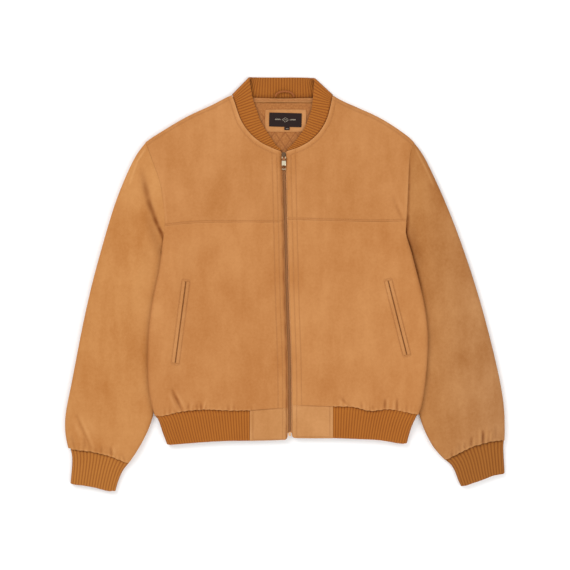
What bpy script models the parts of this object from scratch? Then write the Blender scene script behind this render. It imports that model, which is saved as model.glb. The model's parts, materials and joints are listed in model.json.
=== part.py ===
"""Suede bomber jacket, zipped up and laid flat on its back.

+X is the wearer's left, +Y runs up to the collar, +Z is up from the table.
Each piece of cloth is a wall with an outer and an inner face.  Both faces are
read from the seam lines below, so neighbours meet with a narrow seam gap.
The tables and sizes are in millimetres.
"""

import math
from collections import namedtuple

import bmesh
import bpy
import numpy as np
from mathutils import Matrix, Vector
from mathutils.bvhtree import BVHTree

MM = 0.001

# Driving dimensions
SEAM = 0.3              # gap between two sewn pieces
BODY_THICK = 15.5       # front of the body above the table
FRONT_INSIDE = 9.0      # inner face of the padded fronts
BACK_INSIDE = 5.5       # inner face of the padded back
SEAM_DIP = 1.2          # how far a padded face sinks at a seam
SEAM_SOFT = 7.0         # width of that sinking
LINING_BACK = 1.4       # how far the lining's edge lies back from a seam
EDGE_ROUND = 10.0       # plan width of a folded edge's rounding
EDGE_WALL = 5.0         # wall thickness inside a folded edge
SLEEVE_THICK = 16.5
UNDERARM_PINCH = 0.14   # extra wall share at the underarm
SLEEVE_FLAT = 8.0       # height of the sleeve where the body lies on it
LAP_LIFT = 8.8          # how far the body's side is lifted by the sleeve
LAP_WIDE = 28.0         # width of the lifted strip along the side
LAP_RAMP = 47.0         # width over which the body comes down again
ZIP_GAP = 8.6           # clear width between the two front edges
ZIP_TAPER = 2.2         # thinning of the fronts beside the zip
COLLAR_RIBS = 42        # in each half of the collar
RIB_HIGH = 0.9
KNIT = 4.4              # thickness of the doubled rib knit
HEM_FOLD_IN = 6.0       # from the hem's side to the middle of its fold
CUFF_THICK = 10.6
CUFF_RIBS = 18
KNIT_FRONT = 8.2        # underside of the knit's front layer

# Seam and edge lines: x, y from one end to the other
ZIP_LINE = ((-1.9, 254.0), (1.4, 119.0), (5.0, -31.0), (9.4, -165.0), (9.6, -294.0))

SHOULDER = {  # shoulder point to collar
    "right": ((-267.0, 271.5), (-255.4, 280.3), (-230.4, 295.7), (-205.4, 311.0),
              (-176.6, 326.4), (-142.1, 341.8), (-115.2, 356.0), (-101.5, 362.5)),
    "left": ((248.0, 271.5), (240.0, 280.3), (218.9, 295.7), (195.8, 311.0),
             (167.0, 326.4), (130.6, 341.8), (106.0, 353.5), (92.2, 361.5)),
}
ARMHOLE = {  # underarm to shoulder point
    "right": ((-231.6, 92.7), (-229.5, 112.0), (-229.2, 129.4), (-233.1, 163.2),
              (-239.0, 195.8), (-250.6, 228.5), (-262.0, 260.0), (-267.0, 271.5)),
    "left": ((230.8, 97.9), (232.9, 121.0), (234.6, 140.2), (236.5, 188.2),
             (239.6, 246.7), (243.8, 261.0), (248.0, 271.5)),
}
YOKE_LEVEL = {"right": 111.5, "left": 120.5}      # where the yoke seam meets the armhole
YOKE_SEAM = {  # armhole to front edge
    "right": ((-229.7, 111.5), (-176.6, 116.7), (-134.4, 118.1), (-64.1, 118.1),
              (-2.9, 118.5)),
    "left": ((232.9, 120.5), (161.3, 119.6), (105.0, 121.0), (60.0, 122.2), (5.7, 123.6)),
}
SIDE = {  # hem to underarm
    "right": ((-248.6, -251.0), (-256.5, -224.6), (-261.3, -192.0), (-262.8, -145.0),
              (-261.3, -98.0), (-256.5, -50.0), (-248.6, -11.5), (-238.7, 28.8),
              (-235.6, 59.5), (-231.6, 92.7)),
    "left": ((255.6, -249.6), (259.8, -240.0), (266.1, -209.3), (270.7, -170.9),
             (274.2, -132.5), (275.1, -97.9), (272.6, -59.5), (263.0, -17.3),
             (253.4, 17.3), (242.5, 61.4), (230.8, 97.9)),
}
HEM_SEAM = {  # side to front edge
    "right": ((-248.6, -251.0), (-233.3, -252.0), (-206.2, -245.4), (-179.1, -241.8),
              (-145.9, -240.0), (-108.3, -242.0), (-66.6, -241.7), (-16.7, -238.1),
              (5.2, -237.2)),
    "left": ((255.6, -249.6), (239.6, -246.3), (218.9, -242.1), (198.0, -239.2),
             (181.4, -241.2), (160.5, -243.0), (145.0, -238.2), (129.2, -234.8),
             (93.9, -233.9), (13.8, -231.9)),
}
NECK_SEAM = {  # front edge to shoulder
    "right": ((-6.3, 254.0), (-10.8, 255.4), (-24.6, 260.2), (-39.2, 266.9),
              (-55.7, 277.6), (-68.5, 290.5), (-79.7, 305.3), (-87.0, 319.9),
              (-94.3, 343.7), (-101.5, 362.5)),
    "left": ((2.4, 254.0), (8.4, 255.4), (28.8, 262.1), (47.0, 272.1),
             (63.4, 286.8), (76.4, 305.3), (83.9, 323.5), (88.3, 343.7),
             (92.2, 361.5)),
}
BACK_NECK = ((-101.5, 360.6), (-84.0, 360.0), (-56.0, 357.3), (0.0, 356.3), (48.0, 357.3),
             (76.0, 359.0), (92.2, 359.6))
BACK_HEM = ((-248.6, -251.0), (-160.0, -238.0), (0.0, -221.0), (160.0, -236.0),
            (255.6, -249.6))

SLEEVE_OUTER = {  # shoulder point to cuff
    "right": ((-267.0, 271.5), (-284.2, 249.6), (-301.4, 215.0), (-320.6, 169.0),
              (-336.0, 122.9), (-349.4, 76.8), (-374.4, -15.4), (-393.6, -107.5),
              (-410.9, -199.7), (-419.6, -238.1), (-422.3, -262.0), (-420.5, -291.8),
              (-415.7, -314.1)),
    "left": ((248.0, 271.5), (265.0, 249.6), (282.2, 215.0), (303.4, 169.0),
             (322.6, 122.9), (339.8, 76.8), (370.6, -15.4), (395.5, -107.5),
             (416.6, -199.7), (421.4, -241.9), (422.4, -270.7), (422.3, -299.7)),
}
SLEEVE_INNER = {  # underarm to cuff, tucked under the body between
    "right": ((-231.6, 92.7), (-235.6, 75.0), (-238.4, 60.0), (-240.2, 46.0),
              (-237.0, 24.0), (-231.0, -11.5), (-236.0, -79.0), (-240.0, -146.0),
              (-243.5, -203.5), (-250.5, -251.5), (-259.0, -276.5), (-270.7, -299.5), (-284.2, -322.6), (-298.9, -343.7)),
    "left": ((230.8, 97.9), (238.1, 77.0), (243.9, 60.0), (247.8, 44.0),
             (245.0, 17.3), (244.0, -17.3), (250.0, -59.5), (251.5, -97.9), (248.0, -170.9),
             (250.0, -215.0), (257.5, -252.0), (264.5, -276.5), (272.6, -291.8),
             (286.1, -314.9), (306.8, -337.2)),
}
CUFF_SEAM = {  # outer side to inner side
    "right": ((-415.7, -314.1), (-398.2, -318.0), (-372.7, -320.6), (-352.9, -325.0),
              (-333.1, -329.5), (-319.9, -336.0), (-298.9, -343.7)),
    "left": ((422.3, -299.7), (410.3, -299.7), (388.4, -303.0), (379.6, -306.0),
             (355.2, -312.4), (329.9, -326.2), (306.8, -337.2)),
}
CUFF_OUTER = {  # seam to free edge
    "right": ((-410.5, -315.4), (-407.6, -330.0), (-407.4, -349.4), (-409.4, -379.5)),
    "left": ((421.0, -299.9), (420.3, -318.0), (421.2, -340.0), (422.4, -364.0)),
}
CUFF_INNER = {  # seam to free edge
    "right": ((-298.9, -343.7), (-309.0, -354.8), (-315.5, -365.8), (-322.0, -382.1),
              (-325.4, -394.0)),
    "left": ((306.8, -337.2), (318.9, -346.0), (326.6, -358.1), (333.1, -374.5),
             (338.6, -386.0)),
}
CUFF_EDGE = {  # outer side to inner side
    "right": ((-409.4, -379.5), (-404.7, -384.4), (-385.9, -386.7), (-364.0, -390.7),
              (-336.4, -397.4), (-325.4, -394.0)),
    "left": ((422.4, -364.0), (401.3, -367.5), (379.6, -375.7), (357.5, -383.4),
             (346.0, -387.0), (338.6, -386.0)),
}
HEM_SIDE = {  # folded side of the hem knit, seam to free edge
    "right": ((-248.6, -251.6), (-241.5, -262.0), (-234.4, -284.2), (-225.4, -309.0)),
    "left": ((254.6, -250.4), (245.0, -270.0), (238.6, -290.0), (234.2, -306.8)),
}
HEM_FREE = {  # side to tab
    "right": ((-225.4, -309.0), (-180.5, -305.3), (-122.9, -301.4), (-66.9, -300.4)),
    "left": ((234.2, -306.8), (218.9, -305.6), (181.4, -299.5), (139.8, -297.2),
             (92.6, -295.4)),
}
BACK_HEM_FREE = ((-225.4, -309.0), (-140.0, -297.0), (0.0, -283.0), (140.0, -295.0),
                 (234.2, -306.8))
TAB_X = {"right": -66.6, "left": 92.3}            # where knit and suede tab meet
TAB_FREE = {  # knit side to front edge
    "right": ((-66.6, -300.4), (-30.0, -299.6), (5.2, -298.3)),
    "left": ((92.3, -295.4), (50.0, -295.6), (13.9, -295.0)),
}

# The laid collar: a knit band folded over at each side.
# Half a band per side: seam point and free point of the ribs, by layer
Rib = namedtuple("Rib", "layer seam_x seam_y free_x free_y")
COLLAR = {
    "right": (
        Rib("back", -0.5, 356.9, -0.5, 397.0),
        Rib("back", -28.0, 357.1, -27.5, 397.0),
        Rib("back", -55.0, 357.9, -50.0, 397.2),
        Rib("back", -82.0, 360.8, -62.0, 397.3),
        Rib("fold", -100.6, 364.6, -68.5, 397.4),
        Rib("front", -98.9, 358.6, -67.0, 390.5),
        Rib("front", -94.0, 343.8, -61.2, 357.0),
        Rib("front", -86.7, 320.0, -52.4, 331.0),
        Rib("front", -79.3, 305.6, -47.2, 315.0),
        Rib("front", -68.1, 290.9, -40.5, 303.0),
        Rib("front", -55.4, 278.0, -31.5, 288.6),
        Rib("front", -39.0, 267.4, -22.8, 275.4),
        Rib("front", -24.4, 260.7, -16.0, 265.5),
        Rib("front", -8.6, 255.5, -6.6, 258.3),
    ),
    "left": (
        Rib("back", -0.5, 356.9, -0.5, 397.0),
        Rib("back", 24.0, 357.1, 24.0, 397.0),
        Rib("back", 46.0, 357.9, 42.0, 396.6),
        Rib("back", 74.0, 360.4, 52.5, 396.0),
        Rib("fold", 92.0, 364.0, 58.0, 395.6),
        Rib("front", 91.0, 358.6, 56.6, 388.5),
        Rib("front", 88.0, 343.8, 53.2, 349.5),
        Rib("front", 83.6, 323.6, 50.6, 333.0),
        Rib("front", 76.1, 305.6, 44.5, 315.5),
        Rib("front", 63.1, 287.2, 37.5, 298.5),
        Rib("front", 46.7, 272.6, 25.5, 281.0),
        Rib("front", 28.6, 262.6, 15.0, 268.2),
        Rib("front", 5.6, 255.5, 4.2, 258.3),
    ),
}
# The side fold's outline: seam end, free end
COLLAR_FOLD = {
    "right": ((-100.6, 364.6), (-68.5, 397.4)),
    "left": ((92.0, 364.0), (58.0, 395.6)),
}

# Creases pressed into the padded cloth: from, to, half width, height
Crease = namedtuple("Crease", "x0 y0 x1 y1 wide high")
BODY_CREASES = (
    Crease(-214.5, -204.0, -196.0, -240.0, 6.0, -1.6),
    Crease(-222.0, -216.0, -212.0, -240.0, 7.0, 0.9),
    Crease(-186.0, -222.0, -184.0, -240.0, 5.0, -0.9),
    Crease(-156.0, -224.0, -153.0, -238.0, 5.0, -1.2),
    Crease(-109.0, -228.0, -108.0, -240.0, 5.0, -0.8),
    Crease(107.0, -218.0, 124.0, -233.0, 5.5, -1.1),
    Crease(150.0, -226.0, 148.0, -239.0, 5.0, 0.9),
    Crease(192.0, -212.0, 191.5, -239.0, 5.0, -1.5),
    Crease(215.0, -220.0, 214.5, -241.0, 5.0, -1.2),
    Crease(-36.0, 215.0, -22.0, 100.0, 13.0, -0.7),
    Crease(70.0, 190.0, 24.0, 60.0, 16.0, -0.6),
    Crease(-206.0, 96.0, -150.0, 40.0, 14.0, -0.8),
    Crease(210.0, 70.0, 150.0, 20.0, 14.0, -0.7),
)
SLEEVE_CREASES = (
    Crease(-271.0, 212.0, -262.0, 165.0, 7.0, -1.6),
    Crease(-263.0, 170.0, -244.0, 112.0, 7.0, -2.0),
    Crease(-282.0, 190.0, -268.0, 128.0, 9.0, 1.0),
    Crease(-398.0, -250.0, -373.0, -309.0, 7.0, -2.0),
    Crease(-384.0, -280.0, -352.0, -318.0, 7.0, 1.2),
    Crease(-334.0, -306.0, -331.0, -328.0, 6.0, -1.8),
    Crease(-312.0, -316.0, -306.0, -338.0, 6.0, -0.8),
    Crease(-340.0, 60.0, -300.0, 10.0, 13.0, -1.1),
    Crease(-372.0, -60.0, -318.0, -100.0, 15.0, -0.9),
    Crease(254.0, 236.0, 252.0, 150.0, 9.0, -1.3),
    Crease(330.0, 60.0, 288.0, 20.0, 13.0, -1.0),
    Crease(372.0, -70.0, 320.0, -96.0, 15.0, -0.9),
    Crease(379.6, -268.0, 379.6, -303.0, 5.5, -2.4),
    Crease(368.0, -274.0, 364.0, -304.0, 6.5, 1.2),
    Crease(357.5, -290.0, 357.0, -311.0, 5.5, -1.6),
    Crease(330.0, -300.0, 333.0, -321.0, 6.0, -1.0),
    Crease(404.0, -262.0, 402.0, -298.0, 7.0, -1.0),
)

# Trim
PATCH = (-37.5, 41.5, 292.0, 335.0)        # low x, high x, low y, high y
LABEL = (-29.8, 32.6, 301.4, 328.3)
SIZE_TAB = (-0.8, 9.6, 295.4, 301.0)
LINING = (-70.0, 60.0, 228.0, 347.0)
QUILT_X, QUILT_Y = 10.0, 15.0              # half of a diamond's half width and height
QUILT_HIGH = 0.9
LINING_TOP = 6.5
PATCH_TOP = 7.8
LABEL_TOP = 8.7
NECK_TAPE_WIDE = 8.4
LOOP_X, LOOP_BASE, LOOP_RISE = 0.0, 359.2, 10.4
LOOP_HALF = 17.5
LOOP_CORD = 2.2
WELT_WIDE, WELT_HIGH = 6.8, 1.5
POCKET = {  # top and bottom of the slit
    "right": ((-188.6, 4.8), (-209.0, -151.0)),
    "left": ((197.8, 6.3), (233.0, -134.6)),
}

# Zip
TAPE_HALF = 9.5
TAPE_LOW, TAPE_TOP = 7.9, 8.7
CHAIN_HALF, CHAIN_LOW, CHAIN_TOP = 2.9, 9.0, 11.2
ZIP_TOP_Y, ZIP_LOW_Y = 252.5, -291.0
SLIDER_Y, SLIDER_LONG, SLIDER_WIDE = 246.0, 12.6, 8.0
SLIDER_LOW, SLIDER_TOP = 9.0, 13.4
PIN_Y, PIN_Z, PIN_R = 241.6, 16.0, 0.8
LUG_GAP, LUG_THICK, LUG_TOP = 5.2, 1.3, 17.2
EYE_IN, EYE_OUT = 1.2, 2.2
TAB_LONG, TAB_WIDE, TAB_THICK = 23.0, 9.2, 1.2
TAB_TILT = math.radians(6.0)

# Material: colour, roughness, metallic
FINISH = {
    "suede": ((0.58, 0.26, 0.09), 0.95, 0.0),
    "rib_knit": ((0.40, 0.13, 0.03), 0.9, 0.0),
    "lining": ((0.46, 0.17, 0.06), 0.6, 0.0),
    "label_black": ((0.02, 0.015, 0.012), 0.7, 0.0),
    "zip_tape": ((0.24, 0.11, 0.05), 0.8, 0.0),
    "brass": ((0.75, 0.55, 0.28), 0.3, 1.0),
}


def clear_scene():
    for item in list(bpy.data.objects):
        bpy.data.objects.remove(item, do_unlink=True)


def make_collection(name):
    collection = bpy.data.collections.new(name)
    bpy.context.scene.collection.children.link(collection)
    return collection


def make_material(name):
    colour, roughness, metallic = FINISH[name]
    material = bpy.data.materials.get(name) or bpy.data.materials.new(name)
    material.use_nodes = True
    shader = material.node_tree.nodes["Principled BSDF"]
    shader.inputs["Base Color"].default_value = (*colour, 1.0)
    shader.inputs["Roughness"].default_value = roughness
    shader.inputs["Metallic"].default_value = metallic
    return material


# Small shape functions

def quarter(x):
    """Height of a quarter circle of radius 1 at x from its foot."""
    x = min(max(x, 0.0), 1.0)
    return math.sqrt(max(0.0, 1.0 - (1.0 - x) ** 2))


def ease(x):
    x = min(max(x, 0.0), 1.0)
    return x * x * (3.0 - 2.0 * x)


def mix(a, b, t):
    return a + (b - a) * t


class Line:
    """A smooth line through a few points, read by its share of length."""

    def __init__(self, rows):
        points = np.array(rows, dtype=float)
        ends = (2 * points[0] - points[1], 2 * points[-1] - points[-2])
        padded = np.vstack([ends[0], points, ends[1]])
        dense = [points[0]]
        for a, b, c, d in zip(padded, padded[1:], padded[2:], padded[3:]):
            for step in range(1, 13):
                dense.append(spline_point(a, b, c, d, step / 12))
        self.points = np.array(dense)
        steps = np.linalg.norm(np.diff(self.points, axis=0), axis=1)
        self.run = np.concatenate([[0.0], np.cumsum(steps)])
        self.length = float(self.run[-1])

    def at(self, share):
        length = share * self.length
        return np.array([np.interp(length, self.run, axis) for axis in self.points.T])

    def x_at(self, y):
        order = np.argsort(self.points[:, 1])
        return float(np.interp(y, self.points[order, 1], self.points[order, 0]))

    def share_at(self, value, axis):
        """Share of the length at which an ever rising or falling axis reaches value."""
        order = np.argsort(self.points[:, axis])
        found = np.interp(value, self.points[order, axis], self.run[order])
        return float(found) / self.length


def spline_point(a, b, c, d, t):
    """Catmull-Rom point between b and c."""
    bend = 2 * a - 5 * b + 4 * c - d
    twist = 3 * b - a - 3 * c + d
    return 0.5 * (2 * b + (c - a) * t + bend * t ** 2 + twist * t ** 3)


class Facets:
    """A line drawn straight between its points at some knots."""

    def __init__(self, line, knots):
        self.knots, self.length = knots, line.length
        self.points = np.array([line.at(knot) for knot in knots])

    def at(self, share):
        return np.array([np.interp(share, self.knots, axis) for axis in self.points.T])

    def share_at(self, value, axis):
        order = np.argsort(self.points[:, axis])
        knots = np.array(self.knots)[order]
        return float(np.interp(value, self.points[order, axis], knots))


class Piece:
    """The stretch of a line between two shares, read from 0 to 1."""

    def __init__(self, line, start, end):
        self.line, self.start, self.end = line, start, end

    def at(self, share):
        return self.line.at(mix(self.start, self.end, share))


class Moved:
    """A line moved over by a small step."""

    def __init__(self, line, step):
        self.line, self.step = line, np.array(step)

    def at(self, share):
        return self.line.at(share) + self.step


class Chain:
    """Two lines end to end, with their corner at a chosen share."""

    def __init__(self, first, second, corner):
        self.first, self.second, self.corner = first, second, corner

    def at(self, share):
        if share <= self.corner:
            return self.first.at(share / self.corner)
        return self.second.at((share - self.corner) / (1 - self.corner))


class Straight:
    def __init__(self, start, end):
        self.start, self.end = np.array(start, float), np.array(end, float)

    def at(self, share):
        return mix(self.start, self.end, share)


def patch(bottom, top, left, right):
    """Plan point at share u across and v up between four edge lines."""
    corners = (bottom.at(0), bottom.at(1), top.at(0), top.at(1))

    def at(u, v):
        across = mix(bottom.at(u), top.at(u), v)
        up = mix(left.at(v), right.at(v), u)
        low = mix(corners[0], corners[1], u)
        high = mix(corners[2], corners[3], u)
        return across + up - mix(low, high, v)

    return at


def spread(count, start=0.0, end=1.0):
    return [mix(start, end, k / count) for k in range(count + 1)]


SIDES = ("right", "left")
YOKE_CORNER = 0.44         # share of the yoke's height where its front edge ends
YOKE_ROWS = [0.0, 0.04, 0.2] + spread(8, YOKE_CORNER, 1.0)
SIDE_KNOTS = [0.0, 0.035, 0.08, 0.16, 0.29, 0.45, 0.62, 0.78, 0.87, 0.915, 0.957, 1.0]
NECK_KNOTS = spread(8)
BACK_NECK_KNOTS = spread(6)
# Columns of the lower fronts, close together at the gathers; shares from the side
FRONT_COLUMNS = {
    "right": [0.0, 0.004, 0.012, 0.024, 0.039, 0.08, 0.115, 0.14, 0.16, 0.18, 0.205, 0.235,
              0.262, 0.29, 0.34, 0.365, 0.39, 0.45, 0.53, 0.552, 0.575, 0.64, 0.72, 0.8,
              0.88, 0.95, 1.0],
    "left": [0.0, 0.004, 0.012, 0.024, 0.039, 0.08, 0.13, 0.158, 0.186, 0.22, 0.25, 0.28,
             0.33, 0.38, 0.415, 0.45, 0.5, 0.535, 0.565, 0.6, 0.635, 0.7, 0.78, 0.86, 0.93,
             1.0],
}
RAMP_COLUMNS = [0.11, 0.155, 0.2, 0.25, 0.3]       # where the body comes down off the sleeve
NECK_LOW, NECK_HIGH = 0.32, 0.69                   # shares of the back's top edge at the neck
BACK_HALF = [0.0, 0.006, 0.0196, 0.055, 0.09, 0.125, 0.16]
BACK_NECK_COLUMNS = spread(6, NECK_LOW, NECK_HIGH)
BACK_COLUMNS = (BACK_HALF + [NECK_LOW, NECK_LOW + 0.012] + BACK_NECK_COLUMNS[1:-1]
                + [NECK_HIGH - 0.012, NECK_HIGH] + [1 - k for k in reversed(BACK_HALF)])


def armhole_line(side):
    line = Line(ARMHOLE[side])
    start = line.share_at(YOKE_LEVEL[side], 1)
    return Facets(line, [0.0] + [mix(start, 1.0, row) for row in YOKE_ROWS])


def arm_rows_of_back():
    """Knots of both armholes, for the rows of the one-piece back."""
    both = sorted(armhole["right"].knots[1:] + armhole["left"].knots[1:])
    kept = [both[0]]
    for knot in both[1:]:
        if knot - kept[-1] > 0.012:
            kept.append(knot)
    return kept


def yoke_line(side):
    arm = armhole[side]
    start = arm.at(arm.share_at(YOKE_LEVEL[side], 1))
    line = Line((tuple(start),) + YOKE_SEAM[side][1:])
    return Facets(line, spread(7))


zip_line = Line(ZIP_LINE)
side_line = {side: Line(SIDE[side]) for side in SIDES}
armhole = {side: armhole_line(side) for side in SIDES}
shoulder = {side: Line(SHOULDER[side]) for side in SIDES}
hem_seam = {side: Facets(Line(HEM_SEAM[side]), FRONT_COLUMNS[side]) for side in SIDES}
neck_seam = {side: Facets(Line(NECK_SEAM[side]), NECK_KNOTS) for side in SIDES}
back_neck = Facets(Line(BACK_NECK), BACK_NECK_KNOTS)
back_hem = Facets(Line(BACK_HEM), BACK_COLUMNS)
yoke_seam = {side: yoke_line(side) for side in SIDES}
SIGN = {"right": -1.0, "left": 1.0}


def side_of(x):
    return "right" if x < 0 else "left"


def inside_side(x, y):
    """Distance from the body's side edge, positive inside the body."""
    side = side_of(x)
    return (side_line[side].x_at(y) - x) * SIGN[side]


def lap_share(y):
    """1 where the body lies on the sleeve, 0 above the underarm."""
    return float(np.interp(y, (64.0, 92.0), (1.0, 0.0)))


def lift(x, y):
    """Underside of the back above the table."""
    down = ease((inside_side(x, y) - LAP_WIDE) / LAP_RAMP)
    return LAP_LIFT * lap_share(y) * (1.0 - down)


def crease_height(x, y, creases):
    """Sum of the soft ridges and troughs at a plan point."""
    height = 0.0
    for crease in creases:
        run_x, run_y = crease.x1 - crease.x0, crease.y1 - crease.y0
        length = run_x ** 2 + run_y ** 2
        along = ((x - crease.x0) * run_x + (y - crease.y0) * run_y) / length
        held = min(max(along, 0.0), 1.0)
        gap = math.hypot(x - crease.x0 - held * run_x, y - crease.y0 - held * run_y)
        if gap < 3 * crease.wide:
            fade = math.sin(math.pi * (0.15 + 0.7 * held))
            height += crease.high * fade * math.exp(-(gap / crease.wide) ** 2)
    return height


def front_face(x, y):
    beside_zip = abs(x - zip_line.x_at(y)) - ZIP_GAP / 2
    thinner = ZIP_TAPER * (1.0 - ease(beside_zip / 36.0))
    laid = BODY_THICK + 0.72 * lift(x, y) - thinner
    return laid + crease_height(x, y, BODY_CREASES)


def front_lining(x, y):
    return FRONT_INSIDE + 0.886 * lift(x, y)


def back_lining(x, y):
    return BACK_INSIDE + 0.92 * lift(x, y)


def body_middle(x, y):
    return (BODY_THICK + 1.72 * lift(x, y)) / 2


# Meshes

def new_object(name, mesh, finish, collection):
    item = bpy.data.objects.new(name, mesh)
    item.data.materials.append(make_material(finish))
    collection.objects.link(item)
    return item


def bridge(mesh, first, second):
    """Fill between two rows of vertices that run the same way, by shortest links."""
    i = j = 0
    while i < len(first) - 1 or j < len(second) - 1:
        step_a = j == len(second) - 1
        if i < len(first) - 1 and not step_a:
            ahead = (first[i + 1].co - second[j].co).length
            step_a = ahead <= (first[i].co - second[j + 1].co).length
        if step_a:
            mesh.faces.new((first[i], first[i + 1], second[j]))
            i += 1
        else:
            mesh.faces.new((first[i], second[j + 1], second[j]))
            j += 1


def add_grid(mesh, rows, closed):
    """Vertices and quads of one face of a wall; a closed row is a ring."""
    verts = [[mesh.verts.new(Vector(p) * MM) for p in row] for row in rows]
    for low, high in zip(verts, verts[1:]):
        ring = range(len(low)) if closed else range(len(low) - 1)
        for i in ring:
            k = (i + 1) % len(low)
            mesh.faces.new((low[i], low[k], high[k], high[i]))
    return verts


def wall(name, outer, inner, finish, collection, corners=None):
    """One closed body between an outer and an inner grid of points.

    The grids are open sheets, or tubes whose rings have a far corner at the
    given places.
    """
    mesh = bmesh.new()
    out = add_grid(mesh, outer, corners is not None)
    ins = add_grid(mesh, inner, corners is not None)
    far_out, far_in = corners or (len(outer[0]) - 1, len(inner[0]) - 1)
    for row in (0, -1):
        bridge(mesh, out[row][:far_out + 1], ins[row][:far_in + 1])
        if corners:
            back_out = out[row][far_out:] + out[row][:1]
            bridge(mesh, back_out, ins[row][far_in:] + ins[row][:1])
    if not corners:
        for column in (0, -1):
            bridge(mesh, [row[column] for row in out], [row[column] for row in ins])
    bmesh.ops.triangulate(mesh, faces=mesh.faces)
    bmesh.ops.recalc_face_normals(mesh, faces=mesh.faces)
    data = bpy.data.meshes.new(name)
    mesh.to_mesh(data)
    mesh.free()
    data.shade_smooth()
    data.set_sharp_from_angle(angle=math.radians(35))
    return new_object(name, data, finish, collection)


def edge_steps(radius, width):
    """Shares of a width at which a rounded edge is sampled."""
    return [radius * (1 - math.cos(math.radians(a))) / width for a in (0, 24, 46, 68, 90)]


def with_edges(count, width, low=0.0, high=0.0):
    """Shares across a width, close together at a rounded low or high edge."""
    first = edge_steps(low, width) if low else [0.0]
    last = [1 - share for share in reversed(edge_steps(high, width))] if high else [1.0]
    return first[:-1] + spread(count, first[-1], last[0]) + last[1:]


Fold = namedtuple("Fold", "radius share")
SEWN = Fold(SEAM_SOFT, lambda along: 0.0)
FOLDED = Fold(EDGE_ROUND, lambda along: 1.0)


class Panel:
    """A padded panel: plan patch, outer and inner heights, and how each side ends."""

    def __init__(self, plan, face, lining, middle, left=SEWN, right=SEWN, low=SEWN, high=SEWN):
        self.plan, self.face, self.lining, self.middle = plan, face, lining, middle
        self.folds = (left, right, low, high)
        self.up = 1.0 if face(0.0, 0.0) > middle(0.0, 0.0) else -1.0

    def gaps(self, u, v):
        width = np.linalg.norm(self.plan(1, v) - self.plan(0, v))
        height = np.linalg.norm(self.plan(u, 1) - self.plan(u, 0))
        gaps = (u * width, (1 - u) * width, v * height, (1 - v) * height)
        shares = [fold.share(k) for fold, k in zip(self.folds, (v, v, u, u))]
        return width, height, gaps, shares

    def shifted(self, u, v, shifts, width, height):
        at_u = u + (shifts[0] - shifts[1]) / width
        at_v = v + (shifts[2] - shifts[3]) / height
        return self.plan(at_u, at_v)

    def rise(self, gaps, shares):
        product = 1.0
        for fold, gap, share in zip(self.folds, gaps, shares):
            product *= 1.0 - share * (1.0 - quarter(gap / fold.radius))
        return product

    def dip(self, gaps, shares):
        deepest = 0.0
        for gap, share in zip(gaps, shares):
            deepest = max(deepest, (1 - share) * (1 - quarter(gap / SEAM_SOFT)))
        return SEAM_DIP * deepest

    def outer(self, u, v):
        width, height, gaps, shares = self.gaps(u, v)
        shifts = [SEAM / 2 * (1 - s) * max(0.0, 1 - g / SEAM_SOFT)
                  for g, s in zip(gaps, shares)]
        x, y = self.shifted(u, v, shifts, width, height)
        middle = self.middle(x, y) + self.up * SEAM / 2
        face = self.face(x, y) - (self.dip(gaps, shares) if self.up > 0 else 0.0)
        return (x, y, mix(middle, face, self.rise(gaps, shares)))

    def inner(self, u, v):
        width, height, gaps, shares = self.gaps(u, v)
        shifts = []
        for fold, gap, share in zip(self.folds, gaps, shares):
            inset = mix(LINING_BACK, EDGE_WALL, share)
            shifts.append(inset * max(0.0, 1 - gap / fold.radius))
        x, y = self.shifted(u, v, shifts, width, height)
        middle = self.middle(x, y) + self.up * SEAM / 2
        return (x, y, mix(middle, self.lining(x, y), self.rise(gaps, shares)))

    def build(self, name, finish, collection, us, vs, inner_us, inner_vs):
        outer = [[self.outer(u, v) for u in us] for v in vs]
        inner = [[self.inner(u, v) for u in inner_us] for v in inner_vs]
        return wall(name, outer, inner, finish, collection)


# Body

def lower_front(side, collection):
    """Front panel from the hem seam up to the yoke seam."""
    edge = zip_edge(side, hem_seam[side].at(1)[1], YOKE_SEAM[side][-1][1])
    arm_share = armhole[side].share_at(YOKE_LEVEL[side], 1)
    arm = Piece(armhole[side], 0.0, arm_share)
    side_length = side_line[side].length
    corner = side_length / (side_length + arm_share * armhole[side].length)
    outside = Chain(side_line[side], arm, corner)
    plan = patch(hem_seam[side], yoke_seam[side], outside, edge)
    folded = Fold(EDGE_ROUND, lambda v: 1.0 - ease((v / corner - 0.915) / 0.085))
    panel = Panel(plan, front_face, front_lining, body_middle, left=folded)
    us = FRONT_COLUMNS[side]
    vs = [corner * knot for knot in SIDE_KNOTS] + [1]
    inner_us = edge_steps(EDGE_ROUND, 255) + RAMP_COLUMNS + [0.5, 0.75, 1.0]
    inner_vs = [corner * knot for knot in SIDE_KNOTS if knot not in (0.03, 0.12, 0.32)] + [1]
    return panel.build(f"front_{side}", "suede", collection, us, vs, inner_us, inner_vs)


def zip_edge(side, low_y, high_y):
    """The front edge beside the zip between two heights."""
    shift = np.array([SIGN[side] * ZIP_GAP / 2, 0.0])
    rows = [np.array([zip_line.x_at(y), y]) + shift for y in np.linspace(low_y, high_y, 9)]
    return Line(rows)


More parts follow.
